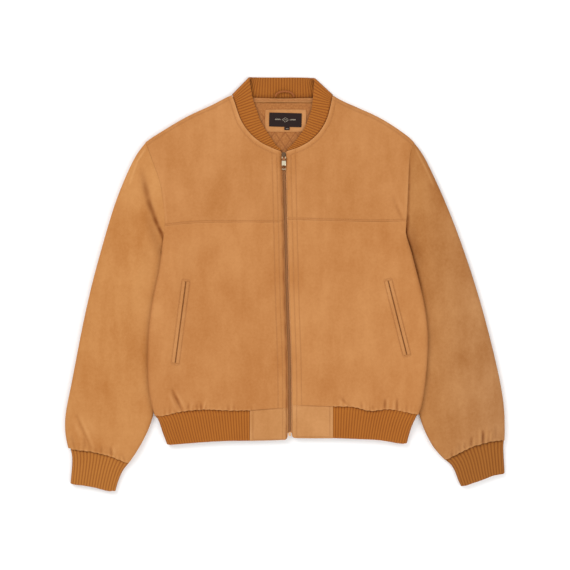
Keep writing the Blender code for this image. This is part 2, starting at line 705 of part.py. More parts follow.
def front_yoke(side, collection):
    """Front yoke: armhole, shoulder, neck seam and the top of the front edge."""
    edge = zip_edge(side, YOKE_SEAM[side][-1][1], NECK_SEAM[side][0][1])
    inside = Chain(edge, neck_seam[side], YOKE_CORNER)
    arm = Piece(armhole[side], armhole[side].share_at(YOKE_LEVEL[side], 1), 1.0)
    plan = patch(yoke_seam[side], shoulder[side], arm, inside)
    panel = Panel(plan, front_face, front_lining, body_middle, high=FOLDED)
    us = [0.0, 0.025] + spread(11)[1:-1] + [0.975, 1.0]
    top = [1 - share for share in reversed(edge_steps(EDGE_ROUND, 170))]
    vs = [row for row in YOKE_ROWS if row < top[0]] + top
    inner_vs = [row for row in YOKE_ROWS[2:] if row < top[0]] + top
    name = f"front_yoke_{side}"
    return panel.build(name, "suede", collection, us, vs, spread(7), [0.0] + inner_vs)


def back_panel(collection):
    """The back in one piece; the table presses its underside flat."""
    lengths = [side_line[side].length for side in SIDES]
    corner = lengths[0] / (lengths[0] + armhole["right"].length)
    right, left = (Chain(side_line[side], armhole[side], corner) for side in SIDES)
    top = TopEdge()
    plan = patch(back_hem, top, right, left)
    folded = Fold(EDGE_ROUND, lambda v: 1.0 - ease((v / corner - 0.915) / 0.085))
    on_shoulder = Fold(EDGE_ROUND, top.folded)
    panel = Panel(plan, lift, back_lining, body_middle, left=folded, right=folded,
                  high=on_shoulder)
    crown = [1 - share for share in reversed(edge_steps(EDGE_ROUND, 590))]
    arm_rows = [mix(corner, 1.0, knot) for knot in arm_rows_of_back()]
    vs = [corner * knot for knot in SIDE_KNOTS if knot not in (0.03, 0.12)]
    vs += [row for row in arm_rows if row < crown[0] - 0.004] + crown
    inner_vs = [v for v in vs if v not in arm_rows[1:-1:2]]
    middle_ones = BACK_NECK_COLUMNS[1:3] + BACK_NECK_COLUMNS[4:6]
    few = [share for share in BACK_COLUMNS if share not in middle_ones]
    return panel.build("back_panel", "suede", collection, BACK_COLUMNS, vs, few, inner_vs)


class TopEdge:
    """Top of the back: right shoulder, neck and left shoulder in one line."""

    def __init__(self):
        self.neck = back_neck

    def at(self, share):
        if share < NECK_LOW:
            return shoulder["right"].at(share / NECK_LOW)
        if share > NECK_HIGH:
            return shoulder["left"].at((1 - share) / (1 - NECK_HIGH))
        return self.neck.at((share - NECK_LOW) / (NECK_HIGH - NECK_LOW))

    def folded(self, share):
        """1 along the shoulders, 0 along the neck seam."""
        inside = min(share - NECK_LOW, NECK_HIGH - share)
        return 1.0 - ease(inside / 0.012)


# Sleeves and cuffs

def outside_body(x, y, side):
    return (x - side_line[side].x_at(y)) * SIGN[side]


def sleeve_top(x, y, side):
    """Height of a sleeve's upper face, low where the body lies on it."""
    full = mix(BODY_THICK, SLEEVE_THICK, ease(outside_body(x, y, side) / 90.0))
    shelf = lap_share(y) * float(np.interp(y, (-292.0, -250.0), (0.0, 1.0)))
    beside = ease((outside_body(x, y, side) - 2.0) / 34.0)
    return full - shelf * (full - SLEEVE_FLAT) * (1.0 - beside)


def tube_rings(plan, us, low_us, vs, height, wall_of, rib=None, inset=0.0, pinch=0.0):
    """Rings of a flattened tube: over the top from u = 0 to 1 and back underneath."""
    rings = []
    for v in vs:
        ring = []
        for column, u in enumerate(us):
            ring.append(tube_point(plan, u, v, height, wall_of, 1, inset, pinch, rib, column))
        for u in reversed(low_us[1:-1]):
            ring.append(tube_point(plan, u, v, height, wall_of, -1, inset, pinch))
        rings.append(ring)
    return rings


def tube_point(plan, u, v, height, wall_of, up, inset, pinch, rib=None, column=0):
    """One point of a tube's outer (inset 0) or inner (inset 1) surface."""
    width = np.linalg.norm(plan(1, v) - plan(0, v))
    gaps = (u * width, (1 - u) * width)
    x, y = plan(u, v)
    edge_high = height(*plan(round(u), v), v)
    radius = 0.6 * edge_high
    thick = wall_of(edge_high) * inset
    shift = [thick * max(0.0, 1 - gap / radius) for gap in gaps]
    narrow = 1.0 - pinch * (1.0 - ease(v / 0.5))
    x, y = plan((u + (shift[0] - shift[1]) / width) * narrow, v)
    high = height(x, y, v)
    rise = quarter(gaps[0] / radius) * quarter(gaps[1] / radius)
    middle = high / 2
    reach = middle - wall_of(high) * inset
    level = middle + up * reach * rise
    if rib is not None:
        level += rib(column, v) * rise
    return (x, y, level)


def sleeve_wall(high):
    hollow = 0.9 + 0.25 * (high - SLEEVE_FLAT)
    return (high - max(hollow, 0.7)) / 2


def sleeve_columns(side):
    """Shares across a sleeve: rounded edges, and the armhole's knots between."""
    knots = [1 - knot for knot in reversed(armhole[side].knots)]
    knots = [knot for knot in knots if 0.08 < knot < 0.95]
    return edge_steps(9.5, 150), knots, [1 - step for step in reversed(edge_steps(6.0, 150))]


def cuff_seam(side):
    outer, knots, inner = sleeve_columns(side)
    return Facets(Line(CUFF_SEAM[side]), outer + knots + inner)


def sleeve(side, collection):
    """One sleeve: a flattened padded tube from armhole to cuff seam."""
    arm = Moved(Piece(armhole[side], 1.0, 0.0), (SIGN[side] * SEAM, 0.0))
    inner, outer = Line(SLEEVE_INNER[side]), Line(SLEEVE_OUTER[side])
    plan = patch(arm, cuff_seam(side), outer, inner)
    length = outer.length
    start = SEAM / length

    def height(x, y, v):
        top = sleeve_top(x, y, side)
        at_cuff = 0.76 + 0.24 * quarter((1 - v) * length / 20.0)
        return top * at_cuff

    def folds(column, v):
        u = us[column]
        x, y = plan(u, v)
        to_cuff = (1 - v) * length
        seam = max(1 - quarter(v * length / SEAM_SOFT), 0.0)
        gather = 0.8 * math.cos(x / 2.7 + 1.5 * math.sin(x / 19.0))
        gather *= math.exp(-to_cuff / 12.0)
        shelf = SLEEVE_FLAT / sleeve_top(x, y, side)
        soft = ease((1.0 - shelf) / 0.3)
        return (crease_height(x, y, SLEEVE_CREASES) + gather) * soft - SEAM_DIP * seam * soft

    rounded, knots, rounded_in = sleeve_columns(side)
    us = rounded + knots + rounded_in
    low_us = rounded[::2] + knots + rounded_in[::2]
    vs = [start, 0.014, 0.045, 0.085, 0.125, 0.165, 0.21, 0.27, 0.36, 0.47, 0.59,
          0.71, 0.81, 0.88, 0.925, 0.957, 0.98, 1 - start]
    outer_rings = tube_rings(plan, us, low_us, vs, height, sleeve_wall, folds)
    few = rounded[::2] + spread(3, 0.07, 0.94) + rounded_in[::2]
    rows = [LINING_BACK / length] + vs[1:10] + vs[11:-1:2] + [1 - 2 * LINING_BACK / length]
    inner_rings = tube_rings(plan, few, few, rows, height, sleeve_wall, inset=1.0,
                             pinch=UNDERARM_PINCH)
    return wall(f"sleeve_{side}", outer_rings, inner_rings, "suede", collection,
                corners=(len(us) - 1, len(few) - 1))


def cuff(side, collection):
    """Rib-knit cuff: a flat tube with its ribs raised on the upper side."""
    seam = cuff_seam(side)
    outer, inner = Line(CUFF_OUTER[side]), Line(CUFF_INNER[side])
    start = seam.share_at(CUFF_OUTER[side][0][0], 0)
    plan = patch(Piece(seam, start, 1.0), Line(CUFF_EDGE[side]), outer, inner)

    def height(x, y, v):
        return CUFF_THICK * (0.8 + 0.2 * quarter((1 - v) * outer.length / 4.0))

    def rib(column, v):
        return RIB_HIGH * (0.5 if column % 2 else -0.5)

    us = spread(2 * CUFF_RIBS)
    low_us = with_edges(5, 110, low=6.0, high=6.0)
    vs = [0.012, 0.48, 0.95, 1.0]
    outer_rings = tube_rings(plan, us, low_us, vs, height, cuff_wall, rib)
    inner_rings = tube_rings(plan, low_us, low_us, [0.012, 0.5, 1.0], height, cuff_wall,
                             inset=1.0)
    return wall(f"cuff_{side}", outer_rings, inner_rings, "rib_knit", collection,
                corners=(len(us) - 1, len(low_us) - 1))


def cuff_wall(high):
    return 0.38 * high


# Knit bands

def face_rows(stations, half, raised):
    """Grid of one face of a band: a column of points for each station."""
    columns = []
    for index, (points, normals) in enumerate(stations):
        rib = RIB_HIGH * (index % 2) * raised(index)
        columns.append([p + n * (half + math.copysign(rib, half))
                        for p, n in zip(points, normals)])
    return columns


def hem_axis(side):
    """Centre line of the side fold, seam end and free end, in plan."""
    line = Line(HEM_SIDE[side])
    inward = np.array([-SIGN[side], 0.15])
    return lambda share: line.at(share) + inward * HEM_FOLD_IN


HEM_BACK_STEPS = [0.0, 0.045, 0.09, 0.14, 0.25, 0.38, 0.5, 0.62, 0.75, 0.86, 0.91, 0.955, 1.0]
HEM_INNER_STEPS = [0.0, 0.1, 0.2, 0.3, 0.4, 0.5, 0.6, 0.68, 0.76, 0.84, 0.92, 1.0]


def hem_band(collection):
    """The hem knit: from one suede tab round the back to the other, in one band."""
    outer = []
    for step in spread(66):
        outer.append(hem_front("right", step))
    for turn in spread(8)[1:-1]:
        outer.append(hem_turn("right", turn))
    ribbed_right = len(outer)
    for step in HEM_BACK_STEPS:
        outer.append(hem_back(step))
    plain = len(outer)
    for turn in spread(8)[1:-1]:
        outer.append(hem_turn("left", 1 - turn))
    for step in spread(60):
        outer.append(hem_front("left", 1 - step))
    inner = [hem_front("right", step) for step in HEM_INNER_STEPS]
    inner += [hem_turn("right", turn) for turn in spread(4)[1:-1]]
    inner += [hem_back(step) for step in HEM_BACK_STEPS]
    inner += [hem_turn("left", 1 - turn) for turn in spread(4)[1:-1]]
    inner += [hem_front("left", step) for step in reversed(HEM_INNER_STEPS)]
    raised = lambda index: 0.0 if ribbed_right - 3 <= index < plain + 3 else 1.0
    out = face_rows(outer, KNIT / 2, raised)
    ins = face_rows(inner, -KNIT / 2, lambda index: 0.0)
    return wall("hem_rib", out, ins, "rib_knit", collection)


def layer_level(x, y, front):
    """Middle of the knit's front or back layer beside the hem seam."""
    rise = lift(x, max(y, -250.0))
    return KNIT_FRONT + KNIT / 2 + 0.886 * rise if front else KNIT / 2 + rise


HEM_DOWN = np.array([0.0, -0.45])
HEM_ACROSS = (0.0, 0.35, 0.92, 1.0)


def bow(axis, share):
    """How far the folded side bows away from a straight line."""
    return axis(share) - mix(axis(0.0), axis(1.0), share)


def ruled(seam, free, seam_level, free_level, normal, bowed):
    """Points and normals across a band from its seam to its free edge."""
    points, normals = [], []
    for share in HEM_ACROSS:
        x, y = mix(seam, free, share) + bowed(share)
        points.append(np.array([x, y, mix(seam_level, free_level, ease(share / 0.9))]))
        normals.append(np.array(normal) * (0.8 if share == 1.0 else 1.0))
    return points, normals


def on_seam(line, x):
    """Point of a seam line at an x, with the knit's clearance."""
    return line.at(line.share_at(x, 0)) + HEM_DOWN


def hem_front(side, share):
    """A rib of the front, share 0 at the suede tab and 1 at the side fold."""
    axis = hem_axis(side)
    start = TAB_X[side] + SIGN[side] * SEAM
    seam = on_seam(hem_seam[side], mix(start, axis(0.0)[0], share))
    free_line = Line(HEM_FREE[side])
    free = free_line.at(free_line.share_at(mix(start, axis(1.0)[0], share), 0))
    level = layer_level(*seam, True)
    return ruled(seam, free, level, KNIT_FRONT + KNIT / 2, (0.0, 0.0, 1.0),
                 lambda k: bow(axis, k) * share ** 2)


def hem_turn(side, turn):
    """A rib on the side fold, turn 0 in front and 1 behind."""
    axis = hem_axis(side)
    line = hem_seam[side] if turn < 0.5 else back_hem
    angle = math.pi * turn
    lean = SIGN[side] * math.sin(angle)
    points, normals = [], []
    for share in HEM_ACROSS:
        x, y = axis(share)
        fall = ease(share / 0.9)
        front = mix(layer_level(x, y, True), KNIT_FRONT + KNIT / 2, fall)
        back = mix(layer_level(x, y, False), KNIT / 2, fall)
        radius = (front - back) / 2
        x += lean * radius
        if share == 0.0:
            y = on_seam(line, x)[1]
        points.append(np.array([x, y, (front + back) / 2 + radius * math.cos(angle)]))
        normals.append(np.array([lean, 0.0, math.cos(angle)]) * (0.8 if share == 1 else 1))
    return points, normals


def hem_back(share):
    """A section of the back stretch, share 0 at the right side fold."""
    right, left = hem_axis("right"), hem_axis("left")
    seam = on_seam(back_hem, mix(right(0.0)[0], left(0.0)[0], share))
    free_line = Line(BACK_HEM_FREE)
    free = free_line.at(free_line.share_at(mix(right(1.0)[0], left(1.0)[0], share), 0))
    level = layer_level(*seam, False)
    return ruled(seam, free, level, KNIT / 2, (0.0, 0.0, -1.0),
                 lambda k: bow(right, k) * (1 - share) ** 4 + bow(left, k) * share ** 4)


class CollarHalf:
    """Half of the collar band, worked out flat and then folded over at its side."""

    radius = (KNIT_FRONT + KNIT / 2 - KNIT / 2) / 2

    def __init__(self, side):
        self.side = side
        seam_end, free_end = (np.array(p) for p in COLLAR_FOLD[side])
        along = (free_end - seam_end) / np.linalg.norm(free_end - seam_end)
        out = np.array([along[1], -along[0]]) * -SIGN["right"]
        self.out = out if out[0] * SIGN[side] > 0 else -out
        self.along = along
        self.origin = seam_end - self.out * (self.radius + KNIT / 2)
        rows = COLLAR[side]
        ends = [((r.seam_x, r.seam_y), (r.free_x, r.free_y), r.layer) for r in rows]
        self.ribs = Line([(*self.unfold(layer, *seam), *self.unfold(layer, *free))
                          for seam, free, layer in ends])

    def unfold(self, layer, x, y):
        """Plan point of a layer, opened out into the flat of the front layer."""
        offset = np.array([x, y]) - self.origin
        along, out = float(offset @ self.along), float(offset @ self.out)
        if layer == "back":
            out = math.pi * self.radius - out
        if layer == "fold":
            out = math.pi * self.radius / 2
        return np.array([along, out])

    def turned(self, share):
        """How far a rib is from the front layer: 0 to 1 round the fold, more behind."""
        return self.ribs.at(share)[1] / (math.pi * self.radius)

    def folded(self, along, out):
        """Middle surface point and the normal of the band's outer face."""
        angle = min(max(out / self.radius, 0.0), math.pi)
        past = out if out < 0 else -max(0.0, out - math.pi * self.radius)
        reach = past + self.radius * math.sin(angle)
        x, y = self.origin + self.along * along + self.out * reach
        z = KNIT / 2 + self.radius * (1 + math.cos(angle))
        lean = self.out * math.sin(angle)
        return np.array([x, y, z]), np.array([lean[0], lean[1], math.cos(angle)])

    def on_neck(self, rib):
        """A front rib's seam end, moved onto the neck seam with its gap."""
        ends = [self.unfold("front", *point) for point in neck_seam[self.side].points]
        best = None
        for a, b in zip(ends, ends[1:]):
            along = float((rib[:2] - a) @ (b - a)) / float((b - a) @ (b - a))
            spot = mix(a, b, min(max(along, 0.0), 1.0))
            if best is None or np.linalg.norm(spot - rib[:2]) < np.linalg.norm(best - rib[:2]):
                best = spot
        inward = rib[2:] - rib[:2]
        return best + inward / np.linalg.norm(inward) * (SEAM + 0.15)

    def station(self, share, across):
        rib = self.ribs.at(share)
        if rib[1] < 0:
            rib = np.concatenate([self.on_neck(rib), rib[2:]])
        points, normals = [], []
        for k in across:
            point, normal = self.folded(*mix(rib[:2], rib[2:], k))
            points.append(point)
            normals.append(normal * (0.82 if k == across[-1] else 1.0))
        return points, normals

    def face(self, shares, across, way, count):
        """Columns of one face, with ribs where the face looks up or out."""
        columns = []
        for share in shares:
            points, normals = self.station(share, across)
            peak = round(share * 2 * count) % 2 == 1
            column = []
            for point, normal in zip(points, normals):
                shown = ease((way * normal[2] + 0.7) / 0.4) if way > 0 else self.behind(share)
                column.append(point + normal * way * (KNIT / 2 + RIB_HIGH * peak * shown))
            columns.append(column)
        return columns

    def behind(self, share):
        return ease((self.turned(share) - 1.3) / 0.3)


def collar(collection):
    """Rib-knit collar: one band from the zip round the back neck to the zip."""
    across = [0.0, 0.1, 0.34, 0.6, 0.87, 1.0]
    out, ins = [], []
    for side in SIDES:
        half = CollarHalf(side)
        fine = spread(2 * COLLAR_RIBS)
        coarse = spread(COLLAR_RIBS // 3)
        outer = [s for s in coarse if half.turned(s) > 1.3]
        outer += [s for s in fine if half.turned(s) <= 1.3]
        inner = [s for s in fine if half.turned(s) > -0.3]
        inner += [s for s in coarse if half.turned(s) <= -0.3]
        outer = half.face(outer, across, 1.0, COLLAR_RIBS)
        inner = half.face(inner, across, -1.0, COLLAR_RIBS)
        out += outer[::-1] if side == "right" else outer[1:]
        ins += inner[::-1] if side == "right" else inner[1:]
    return wall("collar_rib", out, ins, "rib_knit", collection)


def hem_tab(side, collection):
    """Suede tab between the hem knit and the front edge."""
    seam = hem_seam[side]
    start = seam.share_at(TAB_X[side], 0)
    low = Line(TAB_FREE[side])
    edge = zip_edge(side, low.at(1)[1], seam.at(1)[1])
    knit = Straight(low.at(0), seam.at(start))
    plan = patch(low, Line([seam.at(k) + HEM_DOWN / 2 for k in spread(8, start, 1.0)]), knit, edge)
    soft = Fold(3.0, lambda along: 0.45)
    top = KNIT_FRONT + KNIT + 0.8
    panel = Panel(plan, lambda x, y: top, lambda x, y: KNIT_FRONT + 0.3,
                  lambda x, y: KNIT_FRONT + 1.0, right=soft, low=soft)
    us = with_edges(6, 72, low=4.0, high=3.0)
    vs = with_edges(5, 60, low=3.0, high=4.0)
    return panel.build(f"hem_tab_{side}", "suede", collection, us, vs, spread(2), spread(2))


# Trim

def slab(name, box, low, high, finish, collection, round_corner=2.0, turn=0.0):
    """A thin rectangle of cloth with softened corners."""
    x0, x1, y0, y1 = box
    bpy.ops.mesh.primitive_cube_add(size=1)
    item = bpy.context.active_object
    centre = Vector(((x0 + x1) / 2, (y0 + y1) / 2, (low + high) / 2)) * MM
    size = Vector((x1 - x0, y1 - y0, high - low)) * MM
    shape = Matrix.Translation(centre) @ Matrix.Rotation(turn, 4, "Z")
    item.data.transform(shape @ Matrix.Diagonal((*size, 1.0)))
    mesh = bmesh.new()
    mesh.from_mesh(item.data)
    upright = [e for e in mesh.edges if abs(e.verts[0].co.z - e.verts[1].co.z) > MM * 0.1]
    bmesh.ops.bevel(mesh, geom=upright, offset=round_corner * MM, segments=2,
                    affect="EDGES", profile=0.5)
    mesh.to_mesh(item.data)
    mesh.free()
    return adopt(item, name, finish, collection)


def adopt(item, name, finish, collection):
    """Name an object made by an operator and move it to the jacket's collection."""
    item.name = name
    item.data.name = name
    item.data.materials.clear()
    item.data.materials.append(make_material(finish))
    for owner in list(item.users_collection):
        owner.objects.unlink(item)
    collection.objects.link(item)
    return item


def back_lining_piece(collection):
    """Quilted lining of the back, as far as the open neck shows it."""
    x0, x1, y0, y1 = LINING
    columns = round((x1 - x0) / QUILT_X)
    rows = round((y1 - y0) / QUILT_Y)
    outer = []
    for j in range(rows + 1):
        line = []
        for i in range(columns + 1):
            x, y = mix(x0, x1, i / columns), mix(y0, y1, j / rows)
            edge = i in (0, columns) or j in (0, rows)
            near_x = PATCH[0] - QUILT_X < x < PATCH[1] + QUILT_X
            under_patch = near_x and PATCH[2] - QUILT_Y < y < PATCH[3] + QUILT_Y
            puff = 0.0 if edge or under_patch or (i + j) % 2 == 0 else QUILT_HIGH
            line.append((x, y, LINING_TOP + puff))
        outer.append(line)
    low = BACK_INSIDE + SEAM
    inner = [[(x, y, low) for x in (x0, x1)] for y in (y0, y1)]
    return wall("back_lining", outer, inner, "lining", collection)


def neck_tape(collection):
    """Tape that covers the back neck seam inside."""
    neck = Line(BACK_NECK)
    start, end = neck.share_at(-64.0, 0), neck.share_at(58.0, 0)
    low = BACK_INSIDE + SEAM
    section = ((-NECK_TAPE_WIDE, 0.4), (-NECK_TAPE_WIDE + 1.2, 1.5), (-1.6, 1.5), (-0.4, 0.5))
    outer, inner = [], []
    for share in spread(12, start, end):
        x, y = neck.at(share)
        outer.append([(x, y + dy, low + dz) for dy, dz in section])
    for share in spread(4, start, end):
        x, y = neck.at(share)
        inner.append([(x, y + section[0][0], low), (x, y + section[-1][0], low)])
    return wall("neck_tape", outer, inner, "lining", collection)


def hanger_loop(collection):
    """Hanging loop that stands on the back neck seam."""
    curve = bpy.data.curves.new("hanger_loop", "CURVE")
    curve.dimensions = "3D"
    curve.bevel_depth = LOOP_CORD * MM
    curve.bevel_resolution = 2
    curve.use_fill_caps = True
    level = KNIT + RIB_HIGH + SEAM + LOOP_CORD
    spline = curve.splines.new("POLY")
    steps = 10
    spline.points.add(steps)
    for k in range(steps + 1):
        angle = math.pi * k / steps
        x = LOOP_X - LOOP_HALF * math.cos(angle)
        y = LOOP_BASE + LOOP_RISE * math.sin(angle) ** 0.8
        spline.points[k].co = (x * MM, y * MM, level * MM, 1.0)
    item = bpy.data.objects.new("hanger_loop", curve)
    item.data.materials.append(make_material("suede"))
    collection.objects.link(item)
    return item


def height_over(item):
    """Function that gives the height of an object's upper face at a plan point."""
    mesh = bmesh.new()
    mesh.from_mesh(item.data)
    tree = BVHTree.FromBMesh(mesh)
    mesh.free()

    def at(x, y):
        hit = tree.ray_cast(Vector((x * MM, y * MM, 1.0)), Vector((0, 0, -1)))
        return hit[0].z / MM

    return at


def pocket_welt(side, place, front, collection):
    """One lip of a pocket slit, laid on the front panel."""
    top, bottom = (np.array(p) for p in POCKET[side])
    along = (bottom - top) / np.linalg.norm(bottom - top)
    out = np.array([-along[1], along[0]])
    out = out if out[0] * SIGN[side] > 0 else -out
    sign = 1.0 if place == "outer" else -1.0
    over = height_over(front)
    outer, inner = [], []
    for share in spread(12):
        spot = mix(top, bottom, share)
        columns_out, columns_in = [], []
        for gap, high in ((0.25, 0.3), (0.9, WELT_HIGH), (4.0, 1.2), (WELT_WIDE, 0.5)):
            x, y = spot + out * sign * gap
            columns_out.append((x, y, over(x, y) + 0.4 + high))
            if gap in (0.25, 4.0, WELT_WIDE):
                columns_in.append((x, y, over(x, y) + 0.35))
        outer.append(columns_out)
        inner.append(columns_in)
    return wall(f"pocket_{side}_{place}_welt", outer, inner, "suede", collection)


# Zip

def strip(name, low_x, high_x, low, high, y_range, finish, collection, rows=12):
    """A straight-sided strip that follows the zip's centre line."""
    outer, inner = [], []
    for y in spread(rows, *y_range):
        x = zip_line.x_at(y)
        outer.append([(x + low_x, y, high), (x + high_x, y, high)])
        inner.append([(x + low_x, y, low), (x + high_x, y, low)])
    return wall(name, outer, inner, finish, collection)


def box_mesh(low, high):
    """Mesh of a box between two corners."""
    mesh = bmesh.new()
    bmesh.ops.create_cube(mesh, size=1.0)
    low, high = Vector(low), Vector(high)
    shape = Matrix.Translation((low + high) / 2 * MM)
    mesh.transform(shape @ Matrix.Diagonal((*((high - low) * MM), 1.0)))
    return mesh


def to_object(mesh, name, finish, collection):
    bmesh.ops.recalc_face_normals(mesh, faces=mesh.faces)
    data = bpy.data.meshes.new(name)
    mesh.to_mesh(data)
    mesh.free()
    return new_object(name, data, finish, collection)


def join(item, other):
    """Union of two solids, applied."""
    modifier = item.modifiers.new("join", "BOOLEAN")
    modifier.operation = "UNION"
    modifier.object = other
    graph = bpy.context.evaluated_depsgraph_get()
    joined = bpy.data.meshes.new_from_object(item.evaluated_get(graph))
    item.modifiers.clear()
    item.data = joined
    bpy.data.objects.remove(other, do_unlink=True)
    return item


def zip_slider(collection):
    """Slider body with two lugs and the pin that carries the pull tab."""
    x = zip_line.x_at(SLIDER_Y)
    half, long = SLIDER_WIDE / 2, SLIDER_LONG / 2
    low = (x - half, SLIDER_Y - long, SLIDER_LOW)
    mesh = box_mesh(low, (x + half, SLIDER_Y + long, SLIDER_TOP))
    for vert in mesh.verts:
        if vert.co.y < SLIDER_Y * MM:
            vert.co.x = x * MM + (vert.co.x - x * MM) * 0.8
    upright = [e for e in mesh.edges if abs(e.verts[0].co.z - e.verts[1].co.z) > MM]
    bmesh.ops.bevel(mesh, geom=upright, offset=1.6 * MM, segments=3, affect="EDGES")
    slider = to_object(mesh, "zip_slider", "brass", collection)
    pin_x = zip_line.x_at(PIN_Y)
    for sign in (-1, 1):
        near, far = pin_x + sign * LUG_GAP / 2, pin_x + sign * (LUG_GAP / 2 + LUG_THICK)
        low = (min(near, far), PIN_Y - 1.7, SLIDER_TOP - 0.6)
        high = (max(near, far), PIN_Y + 1.9, LUG_TOP)
        join(slider, to_object(box_mesh(low, high), "lug", "brass", collection))
    pin = bmesh.new()
    bmesh.ops.create_cone(pin, cap_ends=True, segments=14, radius1=PIN_R * MM,
                          radius2=PIN_R * MM, depth=(LUG_GAP + 1.0) * MM)
    place = Matrix.Translation(Vector((pin_x, PIN_Y, PIN_Z)) * MM)
    pin.transform(place @ Matrix.Rotation(math.pi / 2, 4, "Y"))
    return join(slider, to_object(pin, "pin", "brass", collection))


def flat_outline(name, outlines, thick, finish, collection):
    """Solid of a flat outline with holes, extruded to both sides of its plane."""
    curve = bpy.data.curves.new(name, "CURVE")
    curve.dimensions = "2D"
    curve.fill_mode = "BOTH"
    curve.extrude = thick / 2 * MM
    for outline in outlines:
        spline = curve.splines.new("POLY")
        spline.points.add(len(outline) - 1)
        for point, (x, y) in zip(spline.points, outline):
            point.co = (x * MM, y * MM, 0.0, 1.0)
        spline.use_cyclic_u = True
    item = bpy.data.objects.new(name, curve)
    collection.objects.link(item)
    graph = bpy.context.evaluated_depsgraph_get()
    graph.update()
    data = bpy.data.meshes.new_from_object(item.evaluated_get(graph))
    bpy.data.objects.remove(item, do_unlink=True)
    mesh = bmesh.new()
    mesh.from_mesh(data)
    bmesh.ops.remove_doubles(mesh, verts=mesh.verts, dist=1e-6)
    return to_object(mesh, name, finish, collection)


def circle(radius, count, start=0.0, sweep=2 * math.pi, closed=True):
    steps = count if closed else count - 1
    return [(radius * math.cos(start + sweep * k / steps),
             radius * math.sin(start + sweep * k / steps)) for k in range(count)]


def rounded_box(x0, x1, y0, y1, corner):
    """Outline of a rectangle with quarter-round corners."""
    points = []
    for cx, cy, turn in ((x1, y1, 0), (x0, y1, 1), (x0, y0, 2), (x1, y0, 3)):
        mid_x = cx - corner if cx == x1 else cx + corner
        mid_y = cy - corner if cy == y1 else cy + corner
        for x, y in circle(corner, 4, turn * math.pi / 2, math.pi / 2, closed=False):
            points.append((mid_x + x, mid_y + y))
    return points


def zip_pull_tab(collection):
    """Pull tab with its eye round the slider's pin and a window near its end."""
    stem = 3.6
    eye = circle(EYE_OUT, 15, math.radians(-146), math.radians(292), closed=False)
    eye += [(-stem, TAB_THICK / 2), (-stem, -TAB_THICK / 2)]
    ring = flat_outline("eye", [eye, circle(EYE_IN, 12)], LUG_GAP - 0.8, "brass", collection)
    # Outline x runs along the tab and outline y across its thickness
    turn = Matrix(((0, 0, 1, 0), (1, 0, 0, 0), (0, 1, 0, 0), (0, 0, 0, 1)))
    ring.data.transform(turn)
    wide = TAB_WIDE / 2
    plate_outline = rounded_box(-wide, wide, -TAB_LONG, -stem + 0.8, 1.6)
    window = rounded_box(-wide + 2.0, wide - 2.0, -TAB_LONG + 2.2, -TAB_LONG + 8.4, 1.0)
    plate = flat_outline("zip_pull_tab", [plate_outline, window], TAB_THICK, "brass", collection)
    join(plate, ring)
    place = Matrix.Translation(Vector((zip_line.x_at(PIN_Y), PIN_Y, PIN_Z)) * MM)
    plate.data.transform(Matrix.Rotation(TAB_TILT, 4, "X"))
    plate.matrix_world = place
    return plate


def zip_parts(collection):
    """Tapes, closed chain, slider, pull tab and the box at the lower end."""
    span = (ZIP_LOW_Y, ZIP_TOP_Y)
    strip("zip_tape_right", -TAPE_HALF, -0.15, TAPE_LOW, TAPE_TOP, span, "zip_tape", collection)
    strip("zip_tape_left", 0.15, TAPE_HALF, TAPE_LOW, TAPE_TOP, span, "zip_tape", collection)
    slider_low = SLIDER_Y - SLIDER_LONG / 2 - SEAM
    chain = (ZIP_LOW_Y + 7.0 + SEAM, slider_low)
    strip("zip_chain", -CHAIN_HALF, CHAIN_HALF, CHAIN_LOW, CHAIN_TOP, chain, "brass",
          collection)
    end_x = zip_line.x_at(ZIP_LOW_Y)
    box = (end_x - 3.6, end_x + 3.6, ZIP_LOW_Y, ZIP_LOW_Y + 7.0)
    slab("zip_box", box, CHAIN_LOW, CHAIN_TOP + 0.6, "brass", collection, 0.8)
    zip_slider(collection)
    zip_pull_tab(collection)


def labels(collection):
    low = LINING_TOP + SEAM
    slab("label_patch", PATCH, low, PATCH_TOP, "suede", collection, 3.0)
    tilt = math.radians(-1.5)
    slab("label", LABEL, PATCH_TOP + SEAM, LABEL_TOP, "label_black", collection, 0.6, tilt)
    slab("size_tab", SIZE_TAB, PATCH_TOP + SEAM, LABEL_TOP, "label_black", collection, 0.5)


def main():
    clear_scene()
    jacket = make_collection("suede_jacket")
    for side in SIDES:
        front = lower_front(side, jacket)
        for place in ("outer", "inner"):
            pocket_welt(side, place, front, jacket)
        front_yoke(side, jacket)
        sleeve(side, jacket)
        cuff(side, jacket)
        hem_tab(side, jacket)
    back_panel(jacket)
    hem_band(jacket)
    collar(jacket)
    back_lining_piece(jacket)
    neck_tape(jacket)
    hanger_loop(jacket)
    labels(jacket)
    zip_parts(jacket)


main()
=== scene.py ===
# %% [markdown]
# # A suede bomber jacket, zipped up and laid on its back
# The jacket is soft goat suede with a knitted collar, hem and cuffs. The frame holds each
# sewn piece as a plain solid. This lesson dresses them: the panels get their fine folds,
# the knit gets its ribs, and then come the stitching, the zip and the finishes.

# %% Load the frame
import json
import math

import bmesh
import bpy
import numpy as np
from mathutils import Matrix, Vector
from mathutils.bvhtree import BVHTree

